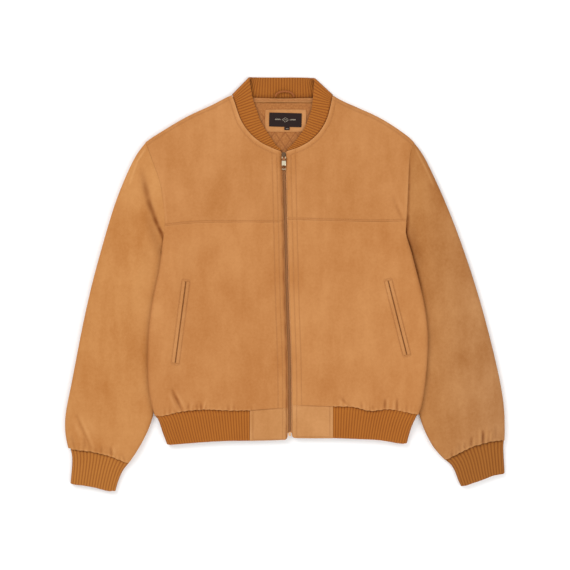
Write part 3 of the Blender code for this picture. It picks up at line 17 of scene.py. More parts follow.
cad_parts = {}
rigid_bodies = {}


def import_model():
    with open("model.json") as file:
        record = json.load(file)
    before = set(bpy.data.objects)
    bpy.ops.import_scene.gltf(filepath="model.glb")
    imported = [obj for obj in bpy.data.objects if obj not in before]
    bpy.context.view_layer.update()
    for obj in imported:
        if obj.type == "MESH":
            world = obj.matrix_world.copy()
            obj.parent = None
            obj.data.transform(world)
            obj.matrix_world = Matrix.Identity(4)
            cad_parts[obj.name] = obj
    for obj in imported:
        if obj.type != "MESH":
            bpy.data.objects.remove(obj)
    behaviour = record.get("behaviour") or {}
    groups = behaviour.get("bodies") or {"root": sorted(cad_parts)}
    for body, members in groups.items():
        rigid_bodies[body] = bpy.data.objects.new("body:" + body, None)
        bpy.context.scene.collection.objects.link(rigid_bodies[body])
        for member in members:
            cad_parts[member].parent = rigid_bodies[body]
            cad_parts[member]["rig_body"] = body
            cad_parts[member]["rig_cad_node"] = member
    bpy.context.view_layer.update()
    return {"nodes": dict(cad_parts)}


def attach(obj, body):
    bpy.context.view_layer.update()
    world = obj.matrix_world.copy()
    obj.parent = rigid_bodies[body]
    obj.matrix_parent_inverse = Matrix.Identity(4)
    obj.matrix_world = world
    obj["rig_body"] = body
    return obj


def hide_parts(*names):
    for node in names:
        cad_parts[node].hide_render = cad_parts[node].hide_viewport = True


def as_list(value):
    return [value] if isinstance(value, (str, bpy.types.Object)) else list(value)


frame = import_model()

MM = 0.001
node = frame["nodes"]

# %% [markdown]
# ## The camera
# A jacket is shown flat from straight above. The lens is long, so that the thick and the
# thin parts keep their proportions. The camera looks down the Z axis with +Y upwards,
# which is how Blender's camera stands when it isn't turned at all.

# %% Make the camera
FIELD = 1.0904            # width of the view on top of the jacket
FRONT_TOP = 0.0155        # height of the fronts
MIDDLE = (0.0006, -0.0019)
LENS, SENSOR, FAR = 85.0, 36.0, 50.0

bpy.ops.object.camera_add(location=(*MIDDLE, FIELD * LENS / SENSOR + FRONT_TOP),
                          rotation=(0.0, 0.0, 0.0))
camera = bpy.context.object
camera.data.lens = LENS
camera.data.sensor_width = SENSOR
camera.data.clip_end = FAR
bpy.context.scene.camera = camera
print("camera height:", round(camera.location.z, 3))

# %% [markdown]
# ## Floor and light
# A wide pale floor and large soft lights leave only faint shadows. The key light stands
# to the upper left, the usual side, and is a little stronger, so that folds read as
# forms. The pale world fills the rest.

# %% Lay the floor and set the lights
FLOOR_SIDE, FLOOR_LEVEL = 12.0, -0.0004
PALE, WHITE, WORLD_STRENGTH = (0.93, 0.93, 0.93, 1.0), (1.0, 1.0, 1.0, 1.0), 0.63
LIGHTS = {  # place, size, power
    "key": ((-1.5, 1.6, 2.2), 1.6, 44.0), "fill": ((1.8, -0.6, 2.4), 2.2, 25.0),
    "front": ((0.0, -2.0, 2.2), 2.2, 20.0),
}


def new_material(name, **values):
    """A material with its shader's values set by name, its node tree and its shader."""
    made = bpy.data.materials.new(name)
    made.use_nodes = True
    shader = made.node_tree.nodes["Principled BSDF"]
    for label, value in values.items():
        shader.inputs[label.replace("_", " ")].default_value = value
    return made, made.node_tree, shader


bpy.ops.mesh.primitive_plane_add(size=FLOOR_SIDE, location=(0.0, 0.0, FLOOR_LEVEL))
floor = bpy.context.object
floor.name = "floor"
floor.data.materials.append(new_material("pale_floor", Base_Color=PALE, Roughness=0.9)[0])

for name, (place, size, power) in LIGHTS.items():
    bpy.ops.object.light_add(type="AREA", location=place)
    lamp = bpy.context.object
    lamp.name = name
    lamp.data.size = size
    lamp.data.energy = power
    lamp.rotation_euler = (-Vector(place)).to_track_quat("-Z", "Y").to_euler()

world = bpy.data.worlds.new("studio")
bpy.context.scene.world = world
world.use_nodes = True
sky = world.node_tree.nodes["Background"]
sky.inputs["Color"].default_value = WHITE
sky.inputs["Strength"].default_value = WORLD_STRENGTH
bpy.context.scene.view_settings.view_transform = "Standard"

# %% [markdown]
# ## Building material graphs
# Every finish below is a graph of nodes. Small helpers keep the cells short: they add a
# node, feed a socket with a link or a number, read a place, an attribute or a range, and
# make a node group, so that the same nap or knit can be used in several materials.

# %% Helpers for nodes
def add_node(tree, kind, **values):
    """A node of a kind; a value whose name starts with in_ sets an unlinked input."""
    made = tree.nodes.new(kind)
    for key, value in values.items():
        if key.startswith("in_"):
            made.inputs[key[3:]].default_value = value
        else:
            setattr(made, key, value)
    return made


def feed(tree, value, socket):
    """Link a socket to another one, or set it to a plain value."""
    if isinstance(value, bpy.types.NodeSocket):
        tree.links.new(value, socket)
    else:
        socket.default_value = value


def new_group(name, inputs, outputs):
    """A shader node group with float inputs (name, value) and named outputs."""
    tree = bpy.data.node_groups.new(name, "ShaderNodeTree")
    for label, value in inputs:
        kind = "NodeSocketVector" if value is None else "NodeSocketFloat"
        socket = tree.interface.new_socket(label, in_out="INPUT", socket_type=kind)
        if value is not None:
            socket.default_value = value
    for label in outputs:
        tree.interface.new_socket(label, in_out="OUTPUT", socket_type="NodeSocketFloat")
    return tree, tree.nodes.new("NodeGroupInput"), tree.nodes.new("NodeGroupOutput")


def use_group(tree, group, **values):
    """A group put in a tree, its inputs fed by name; returns its outputs."""
    made = add_node(tree, "ShaderNodeGroup", node_tree=group)
    for label, value in values.items():
        feed(tree, value, made.inputs[label])
    return made.outputs

# %% Helpers for values
def math_node(tree, operation, *values, clamp=False):
    """A Math node on sockets or plain numbers; returns its output."""
    made = add_node(tree, "ShaderNodeMath", operation=operation, use_clamp=clamp)
    for value, socket in zip(values, made.inputs):
        feed(tree, value, socket)
    return made.outputs[0]


def weighted(tree, *terms):
    """The sum of (socket, weight) terms."""
    total = None
    for value, weight in terms:
        part = math_node(tree, "MULTIPLY", value, weight)
        total = part if total is None else math_node(tree, "ADD", total, part)
    return total


def map_range(tree, value, start, end, low=0.0, high=1.0, kind="LINEAR"):
    """A value read as low at start and high at end."""
    made = add_node(tree, "ShaderNodeMapRange", interpolation_type=kind)
    labels = ("Value", "From Min", "From Max", "To Min", "To Max")
    for label, part in zip(labels, (value, start, end, low, high)):
        feed(tree, part, made.inputs[label])
    return made.outputs["Result"]


def coordinates(tree):
    """The coordinates of a point, by kind: Object or UV."""
    return add_node(tree, "ShaderNodeTexCoord").outputs


def axes_of(tree, vector):
    """A vector's X, Y and Z."""
    parts = add_node(tree, "ShaderNodeSeparateXYZ")
    tree.links.new(vector, parts.inputs[0])
    return parts.outputs


def attribute(tree, name):
    """The number that a mesh stores under a name."""
    return add_node(tree, "ShaderNodeAttribute", attribute_name=name).outputs["Fac"]


def noise_node(tree, vector, scale, detail=2.0, roughness=0.5, stretch=None):
    """A Noise Texture on a vector; returns the factor."""
    if stretch is not None:
        mapping = add_node(tree, "ShaderNodeMapping", in_Scale=stretch)
        tree.links.new(vector, mapping.inputs["Vector"])
        vector = mapping.outputs["Vector"]
    made = add_node(tree, "ShaderNodeTexNoise", in_Scale=scale, in_Detail=detail,
                    in_Roughness=roughness)
    tree.links.new(vector, made.inputs["Vector"])
    return made.outputs["Fac"]

# %% A helper for colours
def linear(red, green, blue):
    """A colour given as on screen, 0 to 255, turned into Blender's linear colour."""
    parts = [value / 255 for value in (red, green, blue)]
    return tuple(p / 12.92 if p <= 0.04045 else ((p + 0.055) / 1.055) ** 2.4 for p in parts)


print("orange suede in linear colour:", [round(c, 3) for c in linear(201, 137, 82)])

# %% [markdown]
# ## The nap of suede
# Suede is the flesh side of a hide, sanded to a short velvet. Strokes of the hand turn
# the fibres, which leaves soft lighter and darker clouds, and the hide's own fine wrinkle
# shows faintly through. The group mixes three sizes of noise for the tone and gives a
# fine height for the bump. It is used by every suede piece, so it is built once.

# %% Build the nap group
nap, nap_in, nap_out = new_group("nap", [("Vector", None)], ["Tone", "Height"])
where = nap_in.outputs["Vector"]
clouds = noise_node(nap, where, 9.0, detail=4.0, roughness=0.6)
strokes = noise_node(nap, where, 42.0, detail=3.0, roughness=0.55, stretch=(1.0, 0.28, 1.0))
flecks = noise_node(nap, where, 210.0, detail=3.0, roughness=0.65)
fibres = noise_node(nap, where, 900.0, roughness=0.6, stretch=(1.0, 0.6, 1.0))
tone = weighted(nap, (clouds, 0.5), (strokes, 0.3), (flecks, 0.2))
high = weighted(nap, (flecks, 0.5), (fibres, 0.5))
nap.links.new(tone, nap_out.inputs["Tone"])
nap.links.new(high, nap_out.inputs["Height"])
print("nap group:", len(nap.nodes), "nodes")

# %% [markdown]
# ## A groove under each line of stitching
# Thread pulled tight sinks into suede. Each panel stores its distance from its edges as
# attributes, in millimetres. Such a distance changes evenly over a face, so a graph can
# draw a sharp groove at a chosen distance on a mesh far coarser than the groove. The
# groove sinks the bump and darkens the colour with painted shade.

# %% Build the groove group
groove, groove_in, groove_out = new_group(
    "groove", [("Distance", 0.0), ("At", 9.0), ("Width", 1.1)], ["Depth"])
given = groove_in.outputs
offset = math_node(groove, "SUBTRACT", given["Distance"], given["At"])
share = math_node(groove, "DIVIDE", offset, given["Width"])
square = math_node(groove, "MULTIPLY", share, share)
depth = math_node(groove, "EXPONENT", math_node(groove, "MULTIPLY", square, -1.0))
groove.links.new(depth, groove_out.inputs["Depth"])


def deepest_groove(tree, rows):
    """The deepest of some (distance, at, width) grooves, or None without rows."""
    sunk = None
    for distance, at, width in rows:
        depth = use_group(tree, groove, Distance=distance, At=at, Width=width)["Depth"]
        sunk = depth if sunk is None else math_node(tree, "MAXIMUM", sunk, depth)
    return sunk


print("groove group:", len(groove.nodes), "nodes")

# %% [markdown]
# ## The suede itself
# The tone picks a colour between a shaded and a brushed brown. Suede has no gloss, but
# its fibres catch light at a slant, and the shader's sheen is made for that. Folds stored
# on the mesh get painted shade in their troughs and a painted highlight on their crests.

# %% Helpers for colour and relief
def colour_ramp(tree, factor, *stops):
    """A Color Ramp with (place, colour) stops; returns its colour."""
    ramp = add_node(tree, "ShaderNodeValToRGB")
    for element, (place, colour) in zip(ramp.color_ramp.elements, stops):
        element.position = place
        element.color = (*colour, 1.0)
    tree.links.new(factor, ramp.inputs["Fac"])
    return ramp.outputs["Color"]


def mix_colour(tree, factor, first, colour, blend="MIX"):
    """A Mix node that lays a plain colour over a socket."""
    made = add_node(tree, "ShaderNodeMix", data_type="RGBA", blend_type=blend)
    tree.links.new(factor, made.inputs[0])
    tree.links.new(first, made.inputs[6])
    made.inputs[7].default_value = (*colour, 1.0)
    return made.outputs[2]


def finish(tree, shader, colour, height, strength, distance):
    """Feed the shader's colour, and its normal through a Bump node."""
    tree.links.new(colour, shader.inputs["Base Color"])
    made = add_node(tree, "ShaderNodeBump", in_Strength=strength, in_Distance=distance)
    tree.links.new(height, made.inputs["Height"])
    tree.links.new(made.outputs["Normal"], shader.inputs["Normal"])

# %% Make the suede materials
# Painted shade and painted highlight, as shares of a suede's dark and light colours.
PAINTED_SHADE, PAINTED_HIGHLIGHT = (0.4, 0.25, 0.14), (1.16, 1.25, 1.4)     # folds against the plain colours
TROUGH, CREST = -0.27, 0.4                # how strongly a fold is shaded


def suede(name, dark, light, grooves=(), shade=0.17, drift=None):
    """Suede in a range of browns; grooves are (attribute, distance, width) rows.

    drift is (x, x, tint): between those two places the colour turns towards the tint."""
    dark, light = linear(*dark), linear(*light)
    made, tree, shader = new_material(
        name, Roughness=0.95, Specular_IOR_Level=0.12, Sheen_Weight=0.10,
        Sheen_Roughness=0.45, Sheen_Tint=(*light, 1.0))
    place = coordinates(tree)["Object"]
    fur = use_group(tree, nap, Vector=place)
    colour = colour_ramp(tree, fur["Tone"], (0.36, dark), (0.64, light))
    height = math_node(tree, "MULTIPLY", fur["Height"], 0.4)
    shade_tone = tuple(part * share for part, share in zip(dark, PAINTED_SHADE))
    highlight_tone = tuple(part * share for part, share in zip(light, PAINTED_HIGHLIGHT))
    # Grooves darken the colour: painted shade in the stitching's grooves and the pockets'
    # slits.
    sunk = deepest_groove(tree, [(attribute(tree, label), at, width)
                                 for label, at, width in grooves])
    if sunk is not None:
        height = math_node(tree, "SUBTRACT", height, sunk)
        colour = mix_colour(tree, math_node(tree, "MULTIPLY", sunk, shade), colour, shade_tone)
    if drift is not None:
        start, end, tint = drift
        along = map_range(tree, axes_of(tree, place)["X"], start, end)
        colour = mix_colour(tree, along, colour, tint, "MULTIPLY")
    # Painted shade in fold troughs, painted highlight on fold crests.
    fold = attribute(tree, "fold")
    for strength, tone in ((TROUGH, shade_tone), (CREST, highlight_tone)):
        share = math_node(tree, "MULTIPLY", fold, strength, clamp=True)
        colour = mix_colour(tree, share, colour, tone)
    finish(tree, shader, colour, height, 0.6, 0.0007)
    return made


AT_ZIP, AT_ZIP_FAR, AT_YOKE, AT_SHOULDER = 9.0, 18.0, 3.0, 7.0    # lines of stitching
FRONT_GROOVES = (("edge_mm", AT_ZIP, 1.2), ("edge_mm", AT_ZIP_FAR, 1.1),
                 ("pocket_mm", 0.0, 1.3))
YOKE_GROOVES = (("edge_mm", AT_ZIP, 1.2), ("zip_mm", AT_ZIP_FAR, 1.1),
                ("yoke_mm", AT_YOKE, 1.1), ("shoulder_mm", AT_SHOULDER, 1.4))
body_suede = suede("body_suede", (172, 111, 59), (191, 133, 80), FRONT_GROOVES)
yoke_suede = suede("yoke_suede", (171, 111, 59), (190, 132, 80), YOKE_GROOVES)
back_suede = suede("back_suede", (174, 113, 61), (193, 135, 82))
right_suede = suede("sleeve_right_suede", (173, 112, 58), (193, 136, 81))
left_suede = suede("sleeve_left_suede", (157, 99, 49), (181, 126, 74),
                   drift=(0.26, 0.41, (0.99, 1.09, 1.36)))
tab_suede = suede("tab_suede", (174, 118, 67), (196, 141, 90), (("box_mm", 3.0, 1.1),))
trim_suede = suede("trim_suede", (172, 114, 64), (193, 137, 87))
# The welts darken strongly at their slit: painted shade.
welt_suede = suede("welt_suede", (172, 112, 61), (193, 136, 84), (("slit_mm", 0.0, 1.1),),
                   shade=0.95)
print("suedes:", body_suede.name, yoke_suede.name, right_suede.name, left_suede.name)

# %% [markdown]
# ## Satin, weaves, thread and brass
# The neck's facing tape is a satin with a soft gloss, the label is a tight black weave,
# and the zip runs on pale brown woven tapes. Its metal parts have painted light: lighter
# where they stand proud, and darker in their recesses as painted shade.

# %% Make the other materials
def cloth(name, dark, light, scale, roughness, strength=0.4, depth=0.0003):
    """A woven or knitted cloth with a fine uneven surface."""
    made, tree, shader = new_material(name, Roughness=roughness, Specular_IOR_Level=0.2)
    grain = noise_node(tree, coordinates(tree)["Object"], scale, detail=3.0, roughness=0.6)
    colour = colour_ramp(tree, grain, (0.36, linear(*dark)), (0.64, linear(*light)))
    finish(tree, shader, colour, grain, strength, depth)
    return made


def metal(name, dark, light, roughness, metallic=0.85, low=9.5, high=15.0):
    """Plated metal with fine scratches: painted light on top, painted shade, dark and dull,
    in its recesses.
    """
    made, tree, shader = new_material(name, Metallic=metallic)
    place = coordinates(tree)["Object"]
    # Painted light by height: lighter higher up, darker lower down as painted shade.
    level = map_range(tree, axes_of(tree, place)["Z"], low * MM, high * MM,
                      kind="SMOOTHSTEP")
    scratch = noise_node(tree, place, 1800.0, detail=3.0)
    tone = math_node(tree, "ADD", weighted(tree, (level, 0.7), (scratch, 0.2)), 0.15)
    colour = colour_ramp(tree, tone, (0.2, linear(*dark)), (0.8, linear(*light)))
    rough = map_range(tree, scratch, 0.0, 1.0, roughness * 0.8, roughness * 1.3)
    tree.links.new(rough, shader.inputs["Roughness"])
    finish(tree, shader, colour, scratch, 0.15, 0.0001)
    return made


tape_satin = cloth("tape_satin", (158, 100, 52), (176, 118, 68), 300.0, 0.5, 0.2)
cord_cloth = cloth("cord_cloth", (138, 76, 32), (160, 92, 44), 700.0, 0.7)
label_weave = cloth("label_weave", (26, 14, 12), (40, 23, 19), 900.0, 0.7)
thread = cloth("thread", (168, 108, 58), (194, 138, 88), 2500.0, 0.6, 0.2, 0.0001)
pale_thread = cloth("pale_thread", (176, 162, 142), (204, 192, 172), 2500.0, 0.6)
# The two tapes are one cloth: the right is darker as painted shade, the left lighter as
# painted light.
zip_weaves = {
    "right": cloth("zip_weave_right_shaded", (206, 138, 80), (226, 162, 102), 900.0, 0.8),
    "left": cloth("zip_weave_left_lit", (234, 168, 106), (248, 188, 128), 900.0, 0.8),
}
tooth_metal = metal("tooth_metal", (142, 90, 48), (180, 124, 76), 0.45, 0.4)
slider_metal = metal("slider_metal", (86, 48, 22), (252, 226, 184), 0.25,
                     low=13.0, high=17.0)
box_metal = metal("box_metal", (206, 150, 98), (236, 190, 140), 0.4, 0.3)
brass = metal("brass", (240, 212, 164), (255, 246, 214), 0.2)
print("materials:", len(bpy.data.materials))

# %% [markdown]
# ## Quilted satin
# Lining is quilted to its wadding along crossing slanted lines, which are darkened as
# painted shade of their hollows. The lines are drawn from the place on the object: both
# slanted counts are whole numbers on a line. Towards the neck's edge the lines fade.

# %% Make the quilted satin
QUILT_X, QUILT_Y = 10.0, 14.0             # half a diamond's width and height
QUILT_AT = (0.8, 263.0)                   # where two lines cross
QUILT_LINE = 0.062                        # a line's width, as a share of the count
QUILT_FADE = (0.322, 0.336, 0.6, 0.12)    # from y to y, from strength to strength


def tint_over(tree, factor, colour):
    """Mix a colour over the one that feeds the shader."""
    socket = tree.nodes["Principled BSDF"].inputs["Base Color"]
    tree.links.new(mix_colour(tree, factor, socket.links[0].from_socket, colour), socket)


quilted_satin = cloth("quilted_satin", (152, 92, 42), (170, 110, 57), 300.0, 0.5, 0.2)
tree = quilted_satin.node_tree
parts = axes_of(tree, coordinates(tree)["Object"])
counts = []
for axis, start, half in (("X", QUILT_AT[0], QUILT_X), ("Y", QUILT_AT[1], QUILT_Y)):
    offset = math_node(tree, "SUBTRACT", parts[axis], start * MM)
    counts.append(math_node(tree, "MULTIPLY", offset, 0.5 / (half * MM)))
rows = []
for operation in ("ADD", "SUBTRACT"):
    slant = math_node(tree, "ADD", math_node(tree, operation, *counts), 0.5)
    slant = math_node(tree, "SUBTRACT", math_node(tree, "FRACT", slant), 0.5)
    rows.append((math_node(tree, "ABSOLUTE", slant), 0.0, QUILT_LINE))
# Painted shade along the quilting lines, fading towards the neck.
quilt_shade = math_node(tree, "MULTIPLY", deepest_groove(tree, rows),
                 map_range(tree, parts["Y"], *QUILT_FADE))
tint_over(tree, quilt_shade, linear(122, 66, 26))
print("quilting:", len(tree.nodes), "nodes")

# %% [markdown]
# ## A pull tab with a painted highlight in its middle
# The tab's plate gets a painted highlight between its darker eye and the frame of its
# window, and the rest of the brass is darkened. Two soft limits along the tab, multiplied,
# keep the highlight between them.

# %% Paint a highlight on the tab's middle
PLATE_ENDS = ((0.2258, 0.2268), (0.2362, 0.2348))     # from darkened to the painted highlight, in y
BAR_END = (0.2216, 0.2206)
PLATE_SHINE, BAR_SHINE = 0.86, 0.45

tree = brass.node_tree
along = axes_of(tree, coordinates(tree)["Object"])["Y"]
# Painted highlight on the plate and the bar; the rest of the tab is darkened.
plate = math_node(tree, "MULTIPLY", *(map_range(tree, along, *ends) for ends in PLATE_ENDS))
bar = math_node(tree, "MULTIPLY", map_range(tree, along, *BAR_END), BAR_SHINE)
shine = math_node(tree, "MULTIPLY", math_node(tree, "MAXIMUM", plate, bar), PLATE_SHINE)
tint_over(tree, math_node(tree, "SUBTRACT", 1.0, shine), linear(150, 100, 64))
print("brass:", len(tree.nodes), "nodes")

# %% [markdown]
# ## Rib knit
# On a rib's top runs a chain of loops, each like a small V, and between two ribs lies a
# shaded groove. The UV map counts ribs across and loops along, so the fraction of each
# says where on a rib, and where in a loop, a point is.

# %% Build the loops group and the knit
loops, loops_in, loops_out = new_group("rib_loops", [("UV", None)], ["Ridge", "Loop"])
parts = axes_of(loops, loops_in.outputs["UV"])
across = math_node(loops, "FRACT", parts["X"])
aside = math_node(loops, "ABSOLUTE", math_node(loops, "SUBTRACT", across, 0.5))
ridge_top = map_range(loops, aside, 0.5, 0.12, kind="SMOOTHSTEP")
lean = math_node(loops, "ADD", parts["Y"], math_node(loops, "MULTIPLY", aside, 1.2))
wave = math_node(loops, "SINE", math_node(loops, "MULTIPLY", lean, 2 * math.pi))
loops.links.new(ridge_top, loops_out.inputs["Ridge"])
loops.links.new(wave, loops_out.inputs["Loop"])


def knit(name, groove_shade_colour, ridge_colour):
    """Rib knit: dark in its grooves as painted shade, light on its ridges, with loops and
    fluff in the bump.
    """
    low, high = linear(*groove_shade_colour), linear(*ridge_colour)
    made, tree, shader = new_material(name, Roughness=0.9, Specular_IOR_Level=0.15,
                                      Sheen_Weight=0.08, Sheen_Roughness=0.5)
    place = coordinates(tree)
    stitch = use_group(tree, loops, UV=place["UV"])
    fluff = noise_node(tree, place["Object"], 1400.0)
    clouds = noise_node(tree, place["Object"], 26.0, detail=3.0)
    tone = weighted(tree, (stitch["Ridge"], 0.82), (clouds, 0.3), (stitch["Loop"], 0.05))
    # The grooves between ribs are darker: painted shade.
    colour = colour_ramp(tree, tone, (0.05, low), (1.0, high))
    # Painted shade where the fold attribute is negative, as on the collar's back.
    trough = math_node(tree, "MULTIPLY", attribute(tree, "fold"), -1.0, clamp=True)
    colour = mix_colour(tree, trough, colour, tuple(0.25 * part for part in low))
    height = weighted(tree, (stitch["Loop"], 0.35), (fluff, 0.5))
    finish(tree, shader, colour, height, 0.5, 0.0005)
    return made


rib_knit = knit("rib_knit", (144, 78, 27), (168, 101, 36))
cuff_knits = {"right": knit("cuff_right_knit", (149, 86, 34), (174, 111, 47)),
              "left": knit("cuff_left_knit", (131, 73, 26), (155, 96, 38))}
print("loops group:", len(loops.nodes), "nodes")

# %% [markdown]
# ## Copies of the sewn pieces
# A node of the frame is a cage: the right piece of cloth in the right place, with few
# faces. A copy is joined up, its triangles are paired into quads, and a Subdivision
# Surface rounds it. The rims of the cloth are creased first, or they would shrink away
# from the seams.

# %% Helpers for copies
WELD = 0.00001            # points closer than this become one
SHARP, WALL = math.radians(48.0), 0.6     # angle at a rim; how upright its wall is
pieces = {}               # the finished pieces, by the node whose place they take


def pick(piece):
    """Select only this piece and make it the active one."""
    bpy.ops.object.select_all(action="DESELECT")
    piece.select_set(True)
    bpy.context.view_layer.objects.active = piece


def copy_of(name, copy_name, pair=50.0):
    """A copy of a node with its triangles joined and paired."""
    pick(node[name])
    bpy.ops.object.duplicate()
    piece = bpy.context.object
    piece.name = copy_name
    piece.parent = None
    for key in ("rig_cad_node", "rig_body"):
        if key in piece:
            del piece[key]
    piece.data.materials.clear()
    bpy.ops.mesh.customdata_custom_splitnormals_clear()
    bpy.ops.object.mode_set(mode="EDIT")
    bpy.ops.mesh.select_all(action="SELECT")
    bpy.ops.mesh.remove_doubles(threshold=WELD)
    bpy.ops.mesh.mark_sharp(clear=True)
    bpy.ops.mesh.tris_convert_to_quads(face_threshold=math.radians(pair),
                                       shape_threshold=math.radians(pair))
    bpy.ops.object.mode_set(mode="OBJECT")
    return piece


def crease_rims(piece, crease, push):
    """Crease sharp edges, and push the rims out to close the seams."""
    mesh = bmesh.new()
    mesh.from_mesh(piece.data)
    layer = mesh.edges.layers.float.get("crease_edge")
    layer = layer or mesh.edges.layers.float.new("crease_edge")
    moves = {}
    for edge in mesh.edges:
        sharp = edge.calc_face_angle(0.0) > SHARP
        edge[layer] = crease if sharp else 0.0
        walls = [face for face in edge.link_faces if abs(face.normal.z) < WALL]
        if sharp and push and len(walls) == 1:
            for vertex in edge.verts:
                moves.setdefault(vertex, Vector())
                moves[vertex] += walls[0].normal
    for vertex, way in moves.items():
        way.z = 0.0
        if way.length > 1e-6:
            vertex.co += way.normalized() * push
    mesh.to_mesh(piece.data)
    mesh.free()


def dress(piece, material, name, body="jacket"):
    """Give a piece its material and its body, and let it take a node's place."""
    piece.data.materials.append(material)
    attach(piece, body)
    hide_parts(name)
    pieces[name] = piece


def smooth_copy(name, copy_name, material, levels=2, crease=0.8, push=0.0):
    """A rounded copy of a node that takes its place."""
    piece = copy_of(name, copy_name)
    crease_rims(piece, crease, push)
    pick(piece)
    bpy.ops.object.modifier_add(type="SUBSURF")
    piece.modifiers[-1].levels = piece.modifiers[-1].render_levels = levels
    bpy.ops.object.modifier_apply(modifier=piece.modifiers[-1].name)
    bpy.ops.object.shade_smooth()
    dress(piece, material, name)

# %% Copy the suede panels
SEAM_CLOSED = 0.00034     # how far a rim is pushed towards its neighbour
panels = {  # node: material, levels of subdivision
    "front_right": (body_suede, 3), "front_left": (body_suede, 3),
    "front_yoke_right": (yoke_suede, 3), "front_yoke_left": (yoke_suede, 3),
    "back_panel": (back_suede, 2), "sleeve_right": (right_suede, 3),
    "sleeve_left": (left_suede, 3), "hem_tab_right": (tab_suede, 2),
    "hem_tab_left": (tab_suede, 2),
}
for name, (material, levels) in panels.items():
    smooth_copy(name, "suede_" + name, material, levels, push=SEAM_CLOSED)
    print(name, len(pieces[name].data.polygons), "faces")

# %% [markdown]
# ## Lines through a few points
# A seam is a smooth line through a few measured points, in millimetres. The helper makes
# the line dense once and then reads it by share of length, by x or by y.

# %% A smooth line
class Line:
    """A smooth line through a few points."""

    def __init__(self, rows):
        points = np.array(rows, float)
        ends = (2 * points[0] - points[1], 2 * points[-1] - points[-2])
        padded = np.vstack([ends[0], points, ends[1]])
        steps = np.linspace(0, 1, 13)[1:, None]
        dense = [points[:1]]
        for a, b, c, d in zip(padded, padded[1:], padded[2:], padded[3:]):
            bend, twist = 2 * a - 5 * b + 4 * c - d, 3 * b - a - 3 * c + d
            dense.append(0.5 * (2 * b + (c - a) * steps + bend * steps ** 2
                                + twist * steps ** 3))
        self.points = np.vstack(dense)
        gaps = np.linalg.norm(np.diff(self.points, axis=0), axis=1)
        self.run = np.concatenate([[0.0], np.cumsum(gaps)])
        self.length = self.run[-1]

    def at(self, share):
        return np.array([np.interp(share * self.length, self.run, axis)
                         for axis in self.points.T])

    def at_x(self, x):
        order = np.argsort(self.points[:, 0])
        points = self.points[order]
        return np.array([x, np.interp(x, points[:, 0], points[:, 1])])

    def x_at(self, y):
        order = np.argsort(self.points[:, 1])
        points = self.points[order]
        return np.interp(y, points[:, 1], points[:, 0])


def ease(x):
    """Smooth step from 0 to 1."""
    x = np.clip(x, 0.0, 1.0)
    return x * x * (3.0 - 2.0 * x)


def mix(a, b, t):
    return a + (b - a) * t


print("a line of", round(Line([(0, 0), (50, 10), (100, 0)]).length, 1), "mm")

# %% [markdown]
# ## Distances for the stitching
# Each line of stitching runs at an even distance from an edge of its piece. The distance
# of every point from those edges is stored on the mesh, in millimetres. A pocket's box
# is a signed distance, negative inside.

# %% Lines on the jacket
SIGN = {"right": -1.0, "left": 1.0}
ZIP_LINE = ((-1.9, 254.0), (1.4, 119.0), (5.0, -31.0), (9.4, -165.0), (9.6, -294.0))
ZIP_GAP = 4.3             # from the zip's middle to the front edge
NECK_SEAM = {  # front edge to shoulder
    "right": ((-6.3, 254.0), (-10.8, 255.4), (-24.6, 260.2), (-39.2, 266.9),
              (-55.7, 277.6), (-68.5, 290.5), (-79.7, 305.3), (-87.0, 319.9),
              (-94.3, 343.7), (-101.5, 362.5)),
    "left": ((2.4, 254.0), (8.4, 255.4), (28.8, 262.1), (47.0, 272.1),
             (63.4, 286.8), (76.4, 305.3), (83.9, 323.5), (88.3, 343.7), (92.2, 361.5)),
}
YOKE_SEAM = {  # armhole to front edge
    "right": ((-229.7, 111.5), (-176.6, 116.7), (-134.4, 118.1), (-64.1, 118.1),
              (-2.9, 118.5)),
    "left": ((232.9, 120.5), (161.3, 119.6), (105.0, 121.0), (60.0, 122.2), (5.7, 123.6)),
}
SHOULDER = {  # shoulder point to collar
    "right": ((-267.0, 271.5), (-255.4, 280.3), (-230.4, 295.7), (-205.4, 311.0),
              (-176.6, 326.4), (-142.1, 341.8), (-115.2, 356.0), (-101.5, 362.5)),
    "left": ((248.0, 271.5), (240.0, 280.3), (218.9, 295.7), (195.8, 311.0),
             (167.0, 326.4), (130.6, 341.8), (106.0, 353.5), (92.2, 361.5)),
}
POCKET = {  # top and bottom of the slit
    "right": ((-188.6, 4.8), (-209.0, -151.0)),
    "left": ((197.8, 6.3), (233.0, -134.6)),
}
BOX_HALF, BOX_PAST, BOX_ROUND = 7.6, 3.5, 2.0     # the stitched box round a pocket
TAB_X = {"right": -66.6, "left": 92.3}            # where the tabs meet the knit
zip_line = Line(ZIP_LINE)
print("zip line:", round(zip_line.length, 1), "mm")

# %% Helpers for distances
def points_of(piece):
    """All points of a piece, in millimetres."""
    points = np.zeros(len(piece.data.vertices) * 3)
    piece.data.vertices.foreach_get("co", points)
    return points.reshape(-1, 3) / MM


def set_points(piece, points):
    """Move all points of a piece, given in millimetres."""
    piece.data.vertices.foreach_set("co", (points * MM).ravel())
    piece.data.update()


def distance_to(line, points):
    """Distance in plan of each point from a line."""
    nearest = np.full(len(points), 1e9)
    for a, b in zip(line.points, line.points[1:]):
        step = b - a
        share = np.clip(((points - a) @ step) / max(step @ step, 1e-9), 0.0, 1.0)
        gap = points - (a + share[:, None] * step)
        nearest = np.minimum(nearest, np.hypot(gap[:, 0], gap[:, 1]))
    return nearest


def zip_side(side, gap, low, high):
    """A line beside the zip between two heights."""
    heights = np.linspace(low, high, 40)
    return [(zip_line.x_at(y) + SIGN[side] * (ZIP_GAP + gap), y) for y in heights]


def from_zip(plan):
    """Distance of plan points from the front edge at the zip."""
    return np.abs(plan[:, 0] - zip_line.x_at(plan[:, 1])) - ZIP_GAP


